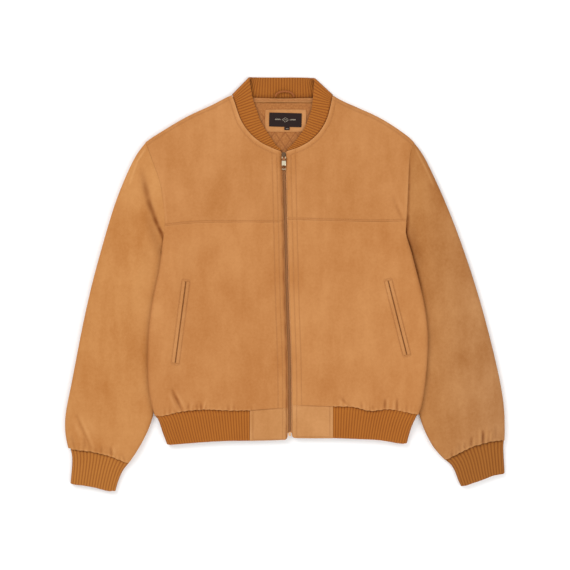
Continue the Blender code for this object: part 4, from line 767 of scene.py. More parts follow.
def box_distance(points, top, bottom):
    """Signed distance from the stitched box round a pocket's slit."""
    top, bottom = np.array(top), np.array(bottom)
    length = np.linalg.norm(top - bottom)
    along = (top - bottom) / length
    offset = points - (top + bottom) / 2
    out_x = np.abs(offset @ np.array([along[1], -along[0]])) - BOX_HALF + BOX_ROUND
    out_y = np.abs(offset @ along) - length / 2 - BOX_PAST + BOX_ROUND
    outside = np.hypot(np.maximum(out_x, 0), np.maximum(out_y, 0))
    return outside + np.minimum(np.maximum(out_x, out_y), 0) - BOX_ROUND


def store(piece, name, values):
    """Keep one number for each point of a piece."""
    layer = piece.data.attributes.new(name, "FLOAT", "POINT")
    layer.data.foreach_set("value", np.asarray(values, np.float32))


print("right slit:", round(math.dist(*POCKET["right"]), 1), "mm")

# %% Measure and store the distances
NECK_START, FAR_OFF = 262.0, 99.0         # above it, only the neck's edge counts
KNIT_LINE, FREE_LINE = 2.8, 6.0           # from a tab's ends to where its box starts
for side in SIGN:
    piece = pieces["front_" + side]
    plan = points_of(piece)[:, :2]
    store(piece, "edge_mm", from_zip(plan))
    store(piece, "pocket_mm", box_distance(plan, *POCKET[side]))
    piece = pieces["front_yoke_" + side]
    plan = points_of(piece)[:, :2]
    below = np.where(plan[:, 1] < NECK_START, from_zip(plan), FAR_OFF)
    store(piece, "edge_mm", np.minimum(below, distance_to(Line(NECK_SEAM[side]), plan) + 1))
    store(piece, "zip_mm", from_zip(plan))
    store(piece, "yoke_mm", distance_to(Line(YOKE_SEAM[side]), plan))
    store(piece, "shoulder_mm", distance_to(Line(SHOULDER[side]), plan))
    tab = pieces["hem_tab_" + side]
    plan = points_of(tab)[:, :2]
    knit_side = np.abs(plan[:, 0] - TAB_X[side]) - KNIT_LINE
    sides = np.minimum(knit_side, from_zip(plan) - FREE_LINE)
    store(tab, "box_mm", np.minimum(sides, plan[:, 1] - plan[:, 1].min()))
print("attributes:", [a.name for a in pieces["front_yoke_left"].data.attributes][-5:])

# %% [markdown]
# ## Folds and gathers
# Suede gathered onto a tight knit puckers: short waves stand up just above the seam and
# fade out, and a few run on as longer creases. None is like the next, so each crease is a
# row of a table with its own ends, width and height. Soft dents, wider than a hand, give
# the panels their unevenness. A point moves by how far its face looks up, and on the
# underside by how far it looks down. The folds' heights are also stored for the
# materials, which paint shade in their troughs and a highlight on their crests.

# %% Fold tables
# Each row's height is also stored as a fold: troughs get painted shade, ridges a painted
# highlight.
CREASES = (  # from x, y to x, y, half width, height, in millimetres
    (-214.5, -203.0, -195.8, -242.0, 2.4, -1.9), (-220.0, -209.0, -206.0, -243.0, 3.4, 0.9),
    (-207.5, -204.0, -190.5, -238.0, 3.2, 0.9), (-151.0, -224.0, -154.5, -239.0, 2.0, 1.2),
    (-160.0, -229.0, -160.5, -240.0, 2.0, -1.2), (-184.0, -230.0, -184.5, -240.0, 2.0, -1.0),
    (-168.5, -231.0, -169.5, -240.0, 2.0, -0.8), (-109.0, -232.0, -109.0, -242.0, 2.0, -0.6),
    (-96.0, -234.0, -95.0, -242.0, 2.0, -0.5), (-176.0, -221.0, -178.0, -238.0, 3.4, 0.8),
    (108.5, -219.0, 124.0, -234.0, 2.4, -1.0), (103.0, -222.0, 119.0, -236.0, 3.4, 0.7),
    (146.0, -227.0, 148.0, -239.0, 2.2, -0.9), (154.0, -229.0, 153.0, -240.0, 2.6, 0.8),
    (192.0, -221.0, 191.5, -240.0, 1.9, -1.9), (197.5, -219.0, 197.0, -240.0, 2.8, 0.9),
    (214.7, -220.0, 214.5, -242.0, 1.9, -1.5), (208.5, -225.0, 208.0, -241.0, 2.6, 0.8),
    (168.0, -231.0, 167.0, -242.0, 2.2, -0.8), (232.0, -232.0, 231.0, -245.0, 2.2, -0.7),
)
SLEEVE_CREASES = (
    (-398.0, -251.0, -372.5, -312.0, 2.8, -1.0), (-391.0, -252.0, -366.0, -312.0, 4.0, 1.0),
    (-333.0, -313.0, -331.5, -330.0, 2.0, -1.6), (-327.0, -311.0, -325.5, -331.0, 2.6, 1.2),
    (-350.0, -311.0, -352.0, -325.0, 2.2, -0.9), (-312.0, -326.0, -307.0, -339.0, 2.2, -0.7),
    (-408.0, -292.0, -402.0, -316.0, 2.6, -0.8), (-384.0, -296.0, -379.0, -318.0, 2.4, -0.9),
    (-402.0, -262.0, -392.0, -290.0, 4.0, 0.8), (-374.0, -262.0, -362.0, -290.0, 5.0, 0.6),
    (-273.0, 216.0, -264.6, 172.0, 6.0, -1.0), (-267.0, 190.0, -257.3, 144.0, 5.0, -1.5),
    (-260.0, 158.0, -246.0, 118.0, 4.2, -2.3), (-249.0, 126.0, -238.0, 100.0, 3.6, -2.4),
    (-240.0, 106.0, -232.5, 80.0, 3.0, -2.8), (-262.0, 130.0, -240.0, 60.0, 9.0, -0.9),
    (-267.0, 257.0, -282.2, 234.2, 2.2, 1.6), (-281.0, 236.0, -289.0, 213.0, 2.2, 1.4),
    (-288.0, 216.0, -297.0, 190.0, 2.4, 1.0),
    (238.8, 240.0, 238.0, 180.5, 2.4, -1.4), (238.0, 190.0, 235.8, 122.9, 2.4, -1.8),
    (235.8, 130.0, 232.8, 92.0, 3.6, -2.6), (232.5, 102.0, 243.5, 54.0, 4.4, -3.4),
    (242.0, 60.0, 254.0, 20.0, 4.0, -3.0), (253.0, 26.0, 262.5, -12.0, 3.4, -1.8),
    (242.0, 110.0, 256.0, 40.0, 9.0, -0.8),
    (251.5, 258.4, 262.5, 234.2, 2.0, 1.3), (262.0, 236.0, 272.3, 216.0, 2.0, 1.3),
    (271.0, 219.0, 285.2, 187.0, 2.4, 1.1),
    (379.6, -282.0, 379.6, -305.0, 2.0, -2.4), (373.0, -278.0, 373.5, -304.0, 3.0, 1.2),
    (386.5, -274.0, 386.0, -303.0, 3.2, 0.9), (357.3, -294.0, 357.0, -312.0, 2.0, -1.8),
    (333.0, -304.0, 334.0, -324.0, 2.2, -1.0), (404.0, -272.0, 403.0, -299.0, 2.6, -0.7),
    (344.0, -304.0, 345.0, -318.0, 2.2, -0.8), (395.0, -284.0, 394.0, -300.0, 2.4, 1.0),
    (318.0, -322.0, 320.0, -332.0, 2.2, -0.7), (363.0, -294.0, 362.5, -310.0, 2.6, 1.0),
)
YOKE_CREASES = (
    (207.4, 166.0, 226.0, 121.0, 3.0, -0.8), (214.0, 168.0, 230.0, 128.0, 3.6, 0.6),
    (236.5, 236.0, 231.5, 124.0, 2.4, 0.5), (-232.0, 180.0, -227.0, 118.0, 2.6, 0.6),
)
BACK_CREASES = (
    (-190.0, -205.0, -176.0, -240.0, 3.0, -2.0), (-120.0, -215.0, -124.0, -238.0, 2.6, -1.6),
    (-62.0, -222.0, -60.0, -238.0, 2.6, -1.4), (8.0, -214.0, 5.0, -238.0, 2.8, -1.6),
    (74.0, -220.0, 77.0, -238.0, 2.6, -1.4), (131.0, -208.0, 124.0, -238.0, 2.8, -1.9),
    (198.0, -218.0, 194.0, -240.0, 2.6, -1.6), (-205.0, 96.0, -150.0, 60.0, 7.0, -1.6),
    (212.0, 92.0, 160.0, 66.0, 7.0, -1.5), (-60.0, 210.0, 70.0, 196.0, 10.0, -1.0),
)
GATHER_HIGH, GATHER_REACH = 0.8, 9.0
SCALLOP, SCALLOP_REACH = 0.5, 3.5
FACING = 0.8              # a face that looks up this much moves in full
HEM_SEAM = {  # side to front edge
    "right": ((-248.6, -251.0), (-233.3, -252.0), (-206.2, -245.4), (-179.1, -241.8),
              (-145.9, -240.0), (-108.3, -242.0), (-66.6, -241.7)),
    "left": ((255.6, -249.6), (239.6, -246.3), (218.9, -242.1), (198.0, -239.2),
             (181.4, -241.2), (160.5, -243.0), (145.0, -238.2), (129.2, -234.8),
             (93.9, -233.9)),
}
CUFF_SEAM = {  # outer side to inner side
    "right": ((-415.7, -314.1), (-398.2, -318.0), (-372.7, -320.6), (-352.9, -325.0),
              (-333.1, -329.5), (-319.9, -336.0), (-298.9, -343.7)),
    "left": ((422.3, -299.7), (410.3, -299.7), (388.4, -303.0), (379.6, -306.0),
             (355.2, -312.4), (329.9, -326.2), (306.8, -337.2)),
}
# The fronts sink beside the zip, and the stored fold paints that edge with shade.
ZIP_ROLL = {"right": (-2.6, 3.6), "left": (-0.5, 1.8)}    # height and width
print("creases:", len(CREASES) + len(SLEEVE_CREASES) + len(YOKE_CREASES) + len(BACK_CREASES))

# %% Helpers for folds
def crease_heights(plan, rows):
    """Sum of soft ridges and troughs at plan points, each fading towards its ends."""
    total = np.zeros(len(plan))
    for x0, y0, x1, y1, wide, high in rows:
        start, run = np.array([x0, y0]), np.array([x1 - x0, y1 - y0])
        share = np.clip((plan - start) @ run / (run @ run), 0.0, 1.0)
        gap = np.linalg.norm(plan - start - share[:, None] * run, axis=1)
        total += high * np.sin(math.pi * (0.14 + 0.72 * share)) * np.exp(-(gap / wide) ** 2)
    return total


def gathers(plan, seam):
    """Uneven short waves beside a seam, fading away from it."""
    reach = distance_to(seam, plan)
    x = plan[:, 0]
    wave = np.sin(x / 1.55 + 1.9 * np.sin(x / 13.0)) * (0.6 + 0.4 * np.sin(x / 8.7 + 1.0))
    long = GATHER_REACH * (1.0 + 0.45 * np.sin(x / 5.1 + 2.0 * np.sin(x / 21.0)))
    return GATHER_HIGH * wave * np.exp(-(reach / long) ** 1.5)


def dents(plan, seed):
    """Wide soft unevenness of a padded panel; a wave is 2 pi times its divisor long."""
    x, y = plan[:, 0] + 37.0 * seed, plan[:, 1]
    wide = np.sin(x / 31 + 1.3 * np.sin(y / 47)) * np.sin(y / 53 + 0.9 * np.sin(x / 39))
    fine = np.sin(x / 14 + y / 31 + seed) * np.sin(y / 19 - x / 43)
    return 0.42 * wide + 0.14 * fine


def press(piece, height, fold, way=1.0):
    """Raise points by a height in millimetres, by how far they look up (way 1) or down.

    The fold is stored for the materials' painted shade and highlight, added to what the
    piece already has."""
    normals = np.zeros(len(piece.data.vertices) * 3)
    piece.data.vertices.foreach_get("normal", normals)
    up = ease(way * normals.reshape(-1, 3)[:, 2] / FACING)
    points = points_of(piece)
    points[:, 2] += way * height * up
    kept = piece.data.attributes.get("fold")
    before = np.zeros(len(points))
    if kept is not None:
        kept.data.foreach_get("value", before)
        piece.data.attributes.remove(kept)
    store(piece, "fold", before + fold * up)
    set_points(piece, points)


def rolled(plan, seam, high, wide=2.0):
    """The low ridge where suede turns over beside a seam; as a fold it gets a painted
    highlight.
    """
    uneven = 0.75 + 0.25 * np.sin(plan[:, 0] / 5.3 + np.sin(plan[:, 1] / 7.9))
    return high * uneven * np.exp(-(distance_to(seam, plan) / wide) ** 2)


def turned_in(plan, side, low=-292.0):
    """The roll where a front turns down beside the zip, from a height up to the neck; sunk,
    it gets painted shade.
    """
    return rolled(plan, Line(zip_side(side, 0.0, low, 252.0)), *ZIP_ROLL[side])


def scallop(piece, seam):
    """Pull the rim beside a seam in and out between its stitches."""
    points = points_of(piece)
    near = np.exp(-(distance_to(seam, points[:, :2]) / SCALLOP_REACH) ** 2)
    x = points[:, 0]
    points[:, 1] -= SCALLOP * near * (0.6 + np.sin(x / 1.9 + 1.4 * np.sin(x / 11.0)))
    set_points(piece, points)


print("gathers reach", GATHER_REACH, "mm and a scalloped rim", SCALLOP, "mm")

# %% Press the folds in
for seed, side in enumerate(SIGN):
    for name, rows, seam in (("front_", CREASES, Line(HEM_SEAM[side])),
                             ("sleeve_", SLEEVE_CREASES, Line(CUFF_SEAM[side]))):
        piece = pieces[name + side]
        plan = points_of(piece)[:, :2]
        fold = crease_heights(plan, rows) + gathers(plan, seam) + rolled(plan, seam, 1.1)
        if name == "front_":
            fold += rolled(plan, Line(YOKE_SEAM[side]), 0.7)
            fold += turned_in(plan, side)
        press(piece, fold + dents(plan, seed), fold)
        if name == "sleeve_":
            under = -np.abs(gathers(plan, seam)) * 1.5 - np.abs(dents(plan, seed + 3))
            press(piece, under, under, -1.0)
        scallop(piece, seam)
        print(piece.name, "folds", round(fold.min(), 2), "to", round(fold.max(), 2), "mm")
    piece = pieces["front_yoke_" + side]
    plan = points_of(piece)[:, :2]
    fold = crease_heights(plan, YOKE_CREASES)
    fold += rolled(plan, Line(NECK_SEAM[side]), 1.5, 3.4)
    fold += turned_in(plan, side)
    press(piece, fold + dents(plan, seed), fold)
    tab = pieces["hem_tab_" + side]
    plan = points_of(tab)[:, :2]
    fold = rolled(plan, Line(((TAB_X[side], -230.0), (TAB_X[side], -303.0))), 0.9)
    fold += turned_in(plan, side, -305.0)
    press(tab, fold, fold)
piece = pieces["back_panel"]
plan = points_of(piece)[:, :2]
across = Line([*HEM_SEAM["right"], *HEM_SEAM["left"][::-1]])
fold = crease_heights(plan, BACK_CREASES) - np.abs(gathers(plan, across)) * 1.5
press(piece, fold - np.abs(dents(plan, 5)), fold, -1.0)

# %% [markdown]
# ## Touching edges
# Under the arm the sleeve tucks below the body, so its edge is drawn inwards there. The
# tabs' lower corners at the zip are turned round before sewing, so they are rounded.

# %% Tuck the sleeves in and round the corners
UNDERARM = {  # where the sleeve meets the body's side
    "right": ((-231.6, 96.0), (-236.0, 60.0), (-246.0, 10.0), (-254.0, -30.0)),
    "left": ((230.8, 98.0), (240.0, 60.0), (252.0, 20.0), (262.0, -20.0)),
}
TUCK, TUCK_REACH, CORNER = 2.4, 7.0, 7.0
for side in SIGN:
    piece = pieces["sleeve_" + side]
    points = points_of(piece)
    near = np.exp(-(distance_to(Line(UNDERARM[side]), points[:, :2]) / TUCK_REACH) ** 2)
    points[:, 0] -= SIGN[side] * TUCK * near
    set_points(piece, points)
    tab = pieces["hem_tab_" + side]
    points = points_of(tab)
    zip_x = zip_line.x_at(points[:, 1]) + SIGN[side] * (ZIP_GAP + CORNER)
    low = points[np.abs(points[:, 0] - zip_x) < CORNER, 1].min() + CORNER
    aside = (zip_x - points[:, 0]) * SIGN[side]
    below = low - points[:, 1]
    reach = np.hypot(aside, below)
    turned = (aside > 0) & (below > 0) & (reach > CORNER)
    pull = np.where(turned, CORNER / np.maximum(reach, 1e-6), 1.0)
    points[:, 0] = zip_x - SIGN[side] * aside * pull
    points[:, 1] = low - below * pull
    set_points(tab, points)
    print(tab.name, "points turned:", int(turned.sum()))

# %% [markdown]
# ## Real ribs for the knit
# A rib knit stands in rounded ridges with narrow grooves, because the purl columns pull
# back between the plain ones. It is used double, folded at the free edge. The cage shows
# this as a plain zigzag, so each band is made again: a grid primitive has a row for each
# step round the folded cloth and several columns for each rib, and its points are laid
# on the band. The rib's number and the length along it are kept as the UV map, which
# places the knitted loops later.

# %% Helper for a ribbed band
FINE_WELD = 0.000005                      # points closer than this become one
GROOVE = 1.05                             # depth between two ribs
LIP = 0.018                               # share of the band where it turns over
EDGE_SHARE, EDGE_FLAT = 0.03, 0.35        # the grooves get shallow this near an edge
RIB_STEPS = (0.0, 0.06, 0.17, 0.33, 0.5, 0.67, 0.83, 0.94)


def ridge(share):
    """Height of a rib across its width, 0 in the groove and 1 on top."""
    return np.clip(1.0 - np.abs(2 * share - 1) ** 2.2, 0.0, 1.0) ** 0.65


def round_profile(rows):
    """Steps round the doubled cloth as (share across, share into its thickness)."""
    outside = [(v, 0.0) for v in np.linspace(0.0, 1.0 - LIP, rows)]
    fold = [(1.0 - LIP * (1 - math.sin(a)), (1 - math.cos(a)) / 2)
            for a in np.radians((30, 60, 90, 120, 150))]
    inside = [(v, 1.0) for v in np.linspace(1.0 - LIP, 0.0, max(3, rows // 2))]
    return outside + fold + inside


def rib_band(name, ribs, profile, station, thick, closed, loop_rows=34):
    """A doubled rib knit; station(rib number, share across) gives point and normal."""
    numbers = [k + step for k in range(ribs) for step in RIB_STEPS] + [float(ribs)]
    bpy.ops.mesh.primitive_grid_add(x_subdivisions=len(numbers) - 1,
                                    y_subdivisions=len(profile), size=1.0)
    piece = bpy.context.object
    piece.name = name
    bpy.ops.object.transform_apply(location=True, rotation=True, scale=True)
    rows = profile + profile[:1]
    count = len(numbers)
    points = np.zeros((len(rows), count, 3))
    for column, number in enumerate(numbers):
        top = ridge(number % 1.0)
        for row, (across, inward) in enumerate(rows):
            point, normal = station(number, across)
            edge = ease(min(across, 1.0 - across) / EDGE_SHARE + EDGE_FLAT)
            pull = GROOVE * (1.0 - top) * (1.0 - 2.0 * inward) * edge
            points[row, column] = point - normal * (thick * inward + pull)
    set_points(piece, points)
    lay_uv(piece, numbers, [across * loop_rows for across, inward in rows])
    pick(piece)
    bpy.ops.object.mode_set(mode="EDIT")
    bpy.ops.mesh.select_all(action="SELECT")
    bpy.ops.mesh.remove_doubles(threshold=FINE_WELD)
    if not closed:
        bpy.ops.mesh.select_all(action="DESELECT")
        bpy.ops.mesh.select_non_manifold()
        bpy.ops.mesh.fill_holes(sides=0)
        bpy.ops.mesh.select_all(action="SELECT")
    bpy.ops.mesh.normals_make_consistent(inside=False)
    bpy.ops.object.mode_set(mode="OBJECT")
    bpy.ops.object.shade_smooth()
    return piece


def lay_uv(piece, numbers, along):
    """UV map of a band: rib number across, and rows of loops along the rib."""
    vertex = np.zeros(len(piece.data.loops), int)
    piece.data.loops.foreach_get("vertex_index", vertex)
    row, column = np.divmod(vertex, len(numbers))
    uv = np.stack([np.array(numbers)[column], np.array(along)[row]], axis=1)
    piece.data.uv_layers[0].data.foreach_set("uv", uv.ravel())

# %% [markdown]
# ## The cuffs
# A cuff is a flattened tube. The ribs run round it at an even pitch, over the upper side,
# round the edge and back underneath, so a stadium-shaped section is walked by length.

# %% Lines of the cuffs
CUFF_OUTER = {  # seam to free edge
    "right": ((-411.5, -315.0), (-407.9, -330.0), (-407.4, -349.4), (-409.4, -379.5)),
    "left": ((421.2, -299.5), (420.3, -318.0), (421.2, -340.0), (422.4, -364.0)),
}
CUFF_INNER = {  # seam to free edge
    "right": ((-298.9, -343.7), (-309.0, -354.8), (-315.5, -365.8), (-322.0, -382.1),
              (-325.4, -394.0)),
    "left": ((306.8, -337.2), (318.9, -346.0), (326.6, -358.1), (333.1, -374.5),
             (338.6, -386.0)),
}
CUFF_EDGE = {  # outer side to inner side
    "right": ((-409.4, -379.5), (-404.7, -384.4), (-385.9, -386.7), (-364.0, -390.7),
              (-336.4, -397.4), (-325.4, -394.0)),
    "left": ((422.4, -364.0), (401.3, -367.5), (379.6, -375.7), (357.5, -383.4),
             (346.0, -387.0), (338.6, -386.0)),
}
CUFF_THICK, CUFF_RIBS, CUFF_WALL = 11.0, 17, 3.8
print("cuff edges:", [round(Line(CUFF_EDGE[side]).length, 1) for side in SIGN], "mm")

# %% Walk round a cuff
def four_sided(bottom, top, left, right):
    """Plan point at shares across and up between four edge lines."""
    corner = (bottom.at(0), bottom.at(1), top.at(0), top.at(1))

    def at(u, v):
        across = mix(bottom.at(u), top.at(u), v)
        up = mix(left.at(v), right.at(v), u)
        twice = mix(mix(corner[0], corner[1], u), mix(corner[2], corner[3], u), v)
        return across + up - twice

    return at


def cuff_station(side):
    """Walks round the cuff's section: rib number to a point and its normal."""
    seam = (CUFF_OUTER[side][0], *CUFF_SEAM[side][1:])    # a little inside the sleeve's
    plan = four_sided(Line(seam), Line(CUFF_EDGE[side]),
                      Line(CUFF_OUTER[side]), Line(CUFF_INNER[side]))
    ribs = 2 * CUFF_RIBS + 2

    def station(number, across):
        start, end = plan(0.0, across), plan(1.0, across)
        width = np.linalg.norm(end - start)
        along = (end - start) / width
        radius = CUFF_THICK / 2
        flat, arc = width - 2 * radius, math.pi * radius
        step = (number / ribs) * 2 * (flat + arc)
        if step < flat:
            reach, angle = radius + step, 0.0
        elif step < flat + arc:
            angle = (step - flat) / radius
            reach = width - radius
        elif step < 2 * flat + arc:
            reach, angle = width - radius - (step - flat - arc), math.pi
        else:
            angle = math.pi + (step - 2 * flat - arc) / radius
            reach = radius
        x, y = plan(reach / width, across) + along * radius * math.sin(angle)
        normal = np.array([along[0] * math.sin(angle), along[1] * math.sin(angle),
                           math.cos(angle)])
        return np.array([x, y, radius + radius * math.cos(angle)]), normal

    return station, ribs

# %% Knit the cuffs
for side in SIGN:
    station, ribs = cuff_station(side)
    cuff = rib_band("knit_cuff_" + side, ribs, round_profile(9), station, CUFF_WALL, True)
    dress(cuff, cuff_knits[side], "cuff_" + side)
    print(cuff.name, ribs, "ribs,", len(cuff.data.polygons), "faces")

# %% [markdown]
# ## The hem
# The hem's knit starts at one suede tab, goes round the back and ends at the other. At
# each side it folds over, and there the ribs run on round the fold.

# %% Lines of the hem
SEAM_END = {"right": (-16.7, -238.1), "left": (13.8, -231.9)}     # above the tab
BACK_HEM = ((-248.6, -251.0), (-160.0, -238.0), (0.0, -221.0), (160.0, -236.0),
            (255.6, -249.6))
HEM_SIDE = {  # folded side, seam to free edge
    "right": ((-248.6, -251.6), (-241.5, -262.0), (-234.4, -284.2), (-225.4, -309.0)),
    "left": ((254.6, -250.4), (245.0, -270.0), (238.6, -290.0), (234.2, -306.8)),
}
HEM_FREE = {  # side to tab
    "right": ((-225.4, -309.0), (-180.5, -305.3), (-122.9, -301.4), (-66.9, -300.4)),
    "left": ((234.2, -306.8), (218.9, -305.6), (181.4, -299.5), (139.8, -297.2),
             (92.6, -295.4)),
}
BACK_HEM_FREE = ((-225.4, -309.0), (-140.0, -297.0), (0.0, -283.0), (140.0, -295.0),
                 (234.2, -306.8))
BODY_SIDE = {"right": -251.0, "left": 257.5}
KNIT, KNIT_FRONT, FOLD_IN = 4.4, 8.2, 6.0         # thickness, level in front, fold's depth
HEM_RIBS = {"right": 32, "left": 28}
TURN_RIBS, BACK_RIBS = 4, 88
LIFT, LIFT_FLAT, LIFT_FADE = 8.8, 28.0, 47.0      # height, and how far in it reaches
LIFT_SHARE, LIFT_END = 0.886, 0.9         # of it in front, and where across it ends


def lift(x, across=0.0):
    """How far the body's side is lifted by the sleeve under it, near the hem."""
    side = "right" if x < 0 else "left"
    inside = (BODY_SIDE[side] - x) * SIGN[side]
    high = LIFT * (1.0 - ease((inside - LIFT_FLAT) / LIFT_FADE))
    return high * (1.0 - ease(across / LIFT_END))


seam_line = {side: Line((*HEM_SEAM[side], SEAM_END[side])) for side in SIGN}
free_line = {side: Line(HEM_FREE[side]) for side in SIGN}
side_fold = {side: Line(HEM_SIDE[side]) for side in SIGN}
back_seam, back_free = Line(BACK_HEM), Line(BACK_HEM_FREE)
print("hem pitch:", round((HEM_SEAM["left"][0][0] - TAB_X["left"]) / HEM_RIBS["left"], 2))

# %% Walk along the hem
def fold_axis(side, across):
    """Middle of the folded side at a share across the band, in plan."""
    return side_fold[side].at(across) + np.array([-SIGN[side], 0.15]) * FOLD_IN


def axis_bow(side, across):
    """How far the folded side bows away from a straight line."""
    straight = mix(fold_axis(side, 0.0), fold_axis(side, 1.0), across)
    return fold_axis(side, across) - straight


def hem_front(side, share, across):
    """Point and normal on the front of the hem; share 0 at the tab, 1 at the side."""
    start = TAB_X[side] + SIGN[side] * 0.1
    seam = seam_line[side].at_x(mix(start, fold_axis(side, 0.0)[0], share))
    free = free_line[side].at_x(mix(start, fold_axis(side, 1.0)[0], share))
    x, y = mix(seam, free, across) + axis_bow(side, across) * share ** 2
    top = KNIT_FRONT + KNIT + LIFT_SHARE * lift(seam[0], across)
    return np.array([x, y, top]), np.array([0.0, 0.0, 1.0])


def hem_turn(side, turn, across):
    """Point and normal on the side fold; turn 0 in front and 1 behind."""
    x, y = fold_axis(side, across)
    if across < 0.02:
        y = (seam_line[side] if turn < 0.5 else back_seam).at_x(x)[1]
    back = lift(x, across)
    front = KNIT_FRONT + KNIT + LIFT_SHARE * back
    radius = (front - back) / 2
    angle = math.pi * turn
    normal = np.array([SIGN[side] * math.sin(angle), 0.0, math.cos(angle)])
    return np.array([x, y, (front + back) / 2]) + normal * radius, normal


def hem_back(share, across):
    """Point and normal on the back of the hem; share 0 at the right side."""
    ends = [(fold_axis("right", k)[0], fold_axis("left", k)[0]) for k in (0.0, 1.0)]
    seam = back_seam.at_x(mix(*ends[0], share))
    free = back_free.at_x(mix(*ends[1], share))
    bow = (axis_bow("right", across) * (1 - share) ** 4
           + axis_bow("left", across) * share ** 4)
    x, y = mix(seam, free, across) + bow
    return np.array([x, y, lift(seam[0], across)]), np.array([0.0, 0.0, -1.0])


def hem_station(number, across):
    """Point and normal of the hem at a rib number, from the right tab to the left."""
    right, left = HEM_RIBS["right"], HEM_RIBS["left"]
    if number <= right:
        return hem_front("right", number / right, across)
    number -= right
    if number <= TURN_RIBS:
        return hem_turn("right", number / TURN_RIBS, across)
    number -= TURN_RIBS
    if number <= BACK_RIBS:
        return hem_back(number / BACK_RIBS, across)
    number -= BACK_RIBS
    if number <= TURN_RIBS:
        return hem_turn("left", 1.0 - number / TURN_RIBS, across)
    return hem_front("left", 1.0 - (number - TURN_RIBS) / left, across)

# %% Knit the hem
ribs = sum(HEM_RIBS.values()) + 2 * TURN_RIBS + BACK_RIBS
hem = rib_band("knit_hem", ribs, round_profile(8), hem_station, KNIT, False)
dress(hem, rib_knit, "hem_rib")
print("hem:", ribs, "ribs,", len(hem.data.polygons), "faces")

# %% [markdown]
# ## The collar
# The collar is one band from the zip round the back of the neck to the zip. Laid flat it
# folds over at each side: behind, its inner face looks up, and in front its outer face.
# Each half is worked out flat, from the seam point and the free point of some ribs, and
# is then rolled over the fold line.

# %% Ribs of the collar
COLLAR = {  # seam x, y and free x, y of some ribs, in millimetres
    "right": {
        "back": ((-0.5, 356.9, -0.5, 397.0), (-28.0, 357.1, -27.5, 397.0),
                 (-55.0, 357.9, -50.0, 397.2), (-82.0, 360.8, -62.0, 397.3)),
        "fold": ((-100.6, 364.6, -68.5, 397.4),),
        "front": ((-98.9, 358.6, -67.0, 390.5), (-94.0, 343.8, -61.2, 357.0),
                  (-86.7, 320.0, -52.4, 331.0), (-79.3, 305.6, -47.2, 315.0),
                  (-68.1, 290.9, -40.5, 303.0), (-55.4, 278.0, -31.5, 288.6),
                  (-39.0, 267.4, -22.8, 275.4), (-24.4, 260.7, -16.0, 265.5),
                  (-8.6, 255.5, -6.6, 258.3)),
    },
    "left": {
        "back": ((-0.5, 356.9, -0.5, 397.0), (24.0, 357.1, 24.0, 397.0),
                 (46.0, 357.9, 42.0, 396.6), (74.0, 360.4, 52.5, 396.0)),
        "fold": ((92.0, 364.0, 58.0, 395.6),),
        "front": ((91.0, 358.6, 56.6, 388.5), (88.0, 343.8, 53.2, 349.5),
                  (83.6, 323.6, 50.6, 333.0), (76.1, 305.6, 44.5, 315.5),
                  (63.1, 287.2, 37.5, 298.5), (46.7, 272.6, 25.5, 281.0),
                  (28.6, 262.6, 15.0, 268.2), (5.6, 255.5, 4.2, 258.3)),
    },
}
COLLAR_RIBS = 46          # in each half
FOLD_RADIUS = KNIT_FRONT / 2
back = COLLAR["right"]["back"][0]
print("collar's back:", round(back[3] - back[1], 1), "mm high")

# %% Roll the collar over its folds
class CollarHalf:
    """Half the collar, opened out flat and rolled over its fold line."""

    def __init__(self, side):
        seam_x, seam_y, free_x, free_y = COLLAR[side]["fold"][0]
        seam, free = np.array([seam_x, seam_y]), np.array([free_x, free_y])
        self.along = (free - seam) / np.linalg.norm(free - seam)
        out = np.array([self.along[1], -self.along[0]])
        self.out = out if out[0] * SIGN[side] > 0 else -out
        self.origin = seam - self.out * (FOLD_RADIUS + KNIT / 2)
        rows = []
        for layer in ("back", "fold", "front"):
            for row in COLLAR[side][layer]:
                rows.append((*self.unfold(layer, row[:2]), *self.unfold(layer, row[2:])))
        self.ribs = Line(rows)

    def unfold(self, layer, point):
        offset = np.array(point) - self.origin
        along, out = offset @ self.along, offset @ self.out
        out = {"front": out, "fold": math.pi * FOLD_RADIUS / 2,
               "back": math.pi * FOLD_RADIUS - out}[layer]
        return along, out

    def station(self, share, across):
        """Point on the outer face and its normal; share 0 at the back, 1 at the zip."""
        rib = self.ribs.at(share)
        along, out = mix(rib[:2], rib[2:], across)
        angle = min(max(out / FOLD_RADIUS, 0.0), math.pi)
        past = out if out < 0 else -max(0.0, out - math.pi * FOLD_RADIUS)
        reach = past + FOLD_RADIUS * math.sin(angle)
        x, y = self.origin + self.along * along + self.out * reach
        z = KNIT / 2 + FOLD_RADIUS * (1 + math.cos(angle))
        lean = self.out * math.sin(angle)
        normal = np.array([lean[0], lean[1], math.cos(angle)])
        return np.array([x, y, z]) + normal * KNIT / 2, normal


halves = {side: CollarHalf(side) for side in SIGN}


def collar_station(number, across):
    """Point and normal of the collar at a rib number, from zip to zip."""
    side = "right" if number < COLLAR_RIBS else "left"
    return halves[side].station(abs(COLLAR_RIBS - number) / COLLAR_RIBS * 0.999999, across)

# %% Knit the collar
BACK_LOW, BACK_SHADE = 356.0, 0.09        # the back's inner face lies in shade
SIDE_SHADE, SHADE_REACH = 0.4, 7.0        # and more so beside the folded sides
collar = rib_band("knit_collar", 2 * COLLAR_RIBS, round_profile(9), collar_station,
                  KNIT, False, 26)
dress(collar, rib_knit, "collar_rib")
points = points_of(collar)
behind = (points[:, 1] > BACK_LOW) & (points[:, 2] < KNIT + 0.6)
sides = [COLLAR[side]["front"][0] for side in SIGN]
inner = np.minimum(*(distance_to(Line((row[:2], row[2:])), points[:, :2]) for row in sides))
shadow = BACK_SHADE + SIDE_SHADE * np.exp(-(inner / SHADE_REACH) ** 2)
store(collar, "fold", np.where(behind, -shadow, 0.0))
print("collar:", 2 * COLLAR_RIBS, "ribs,", len(collar.data.polygons), "faces")

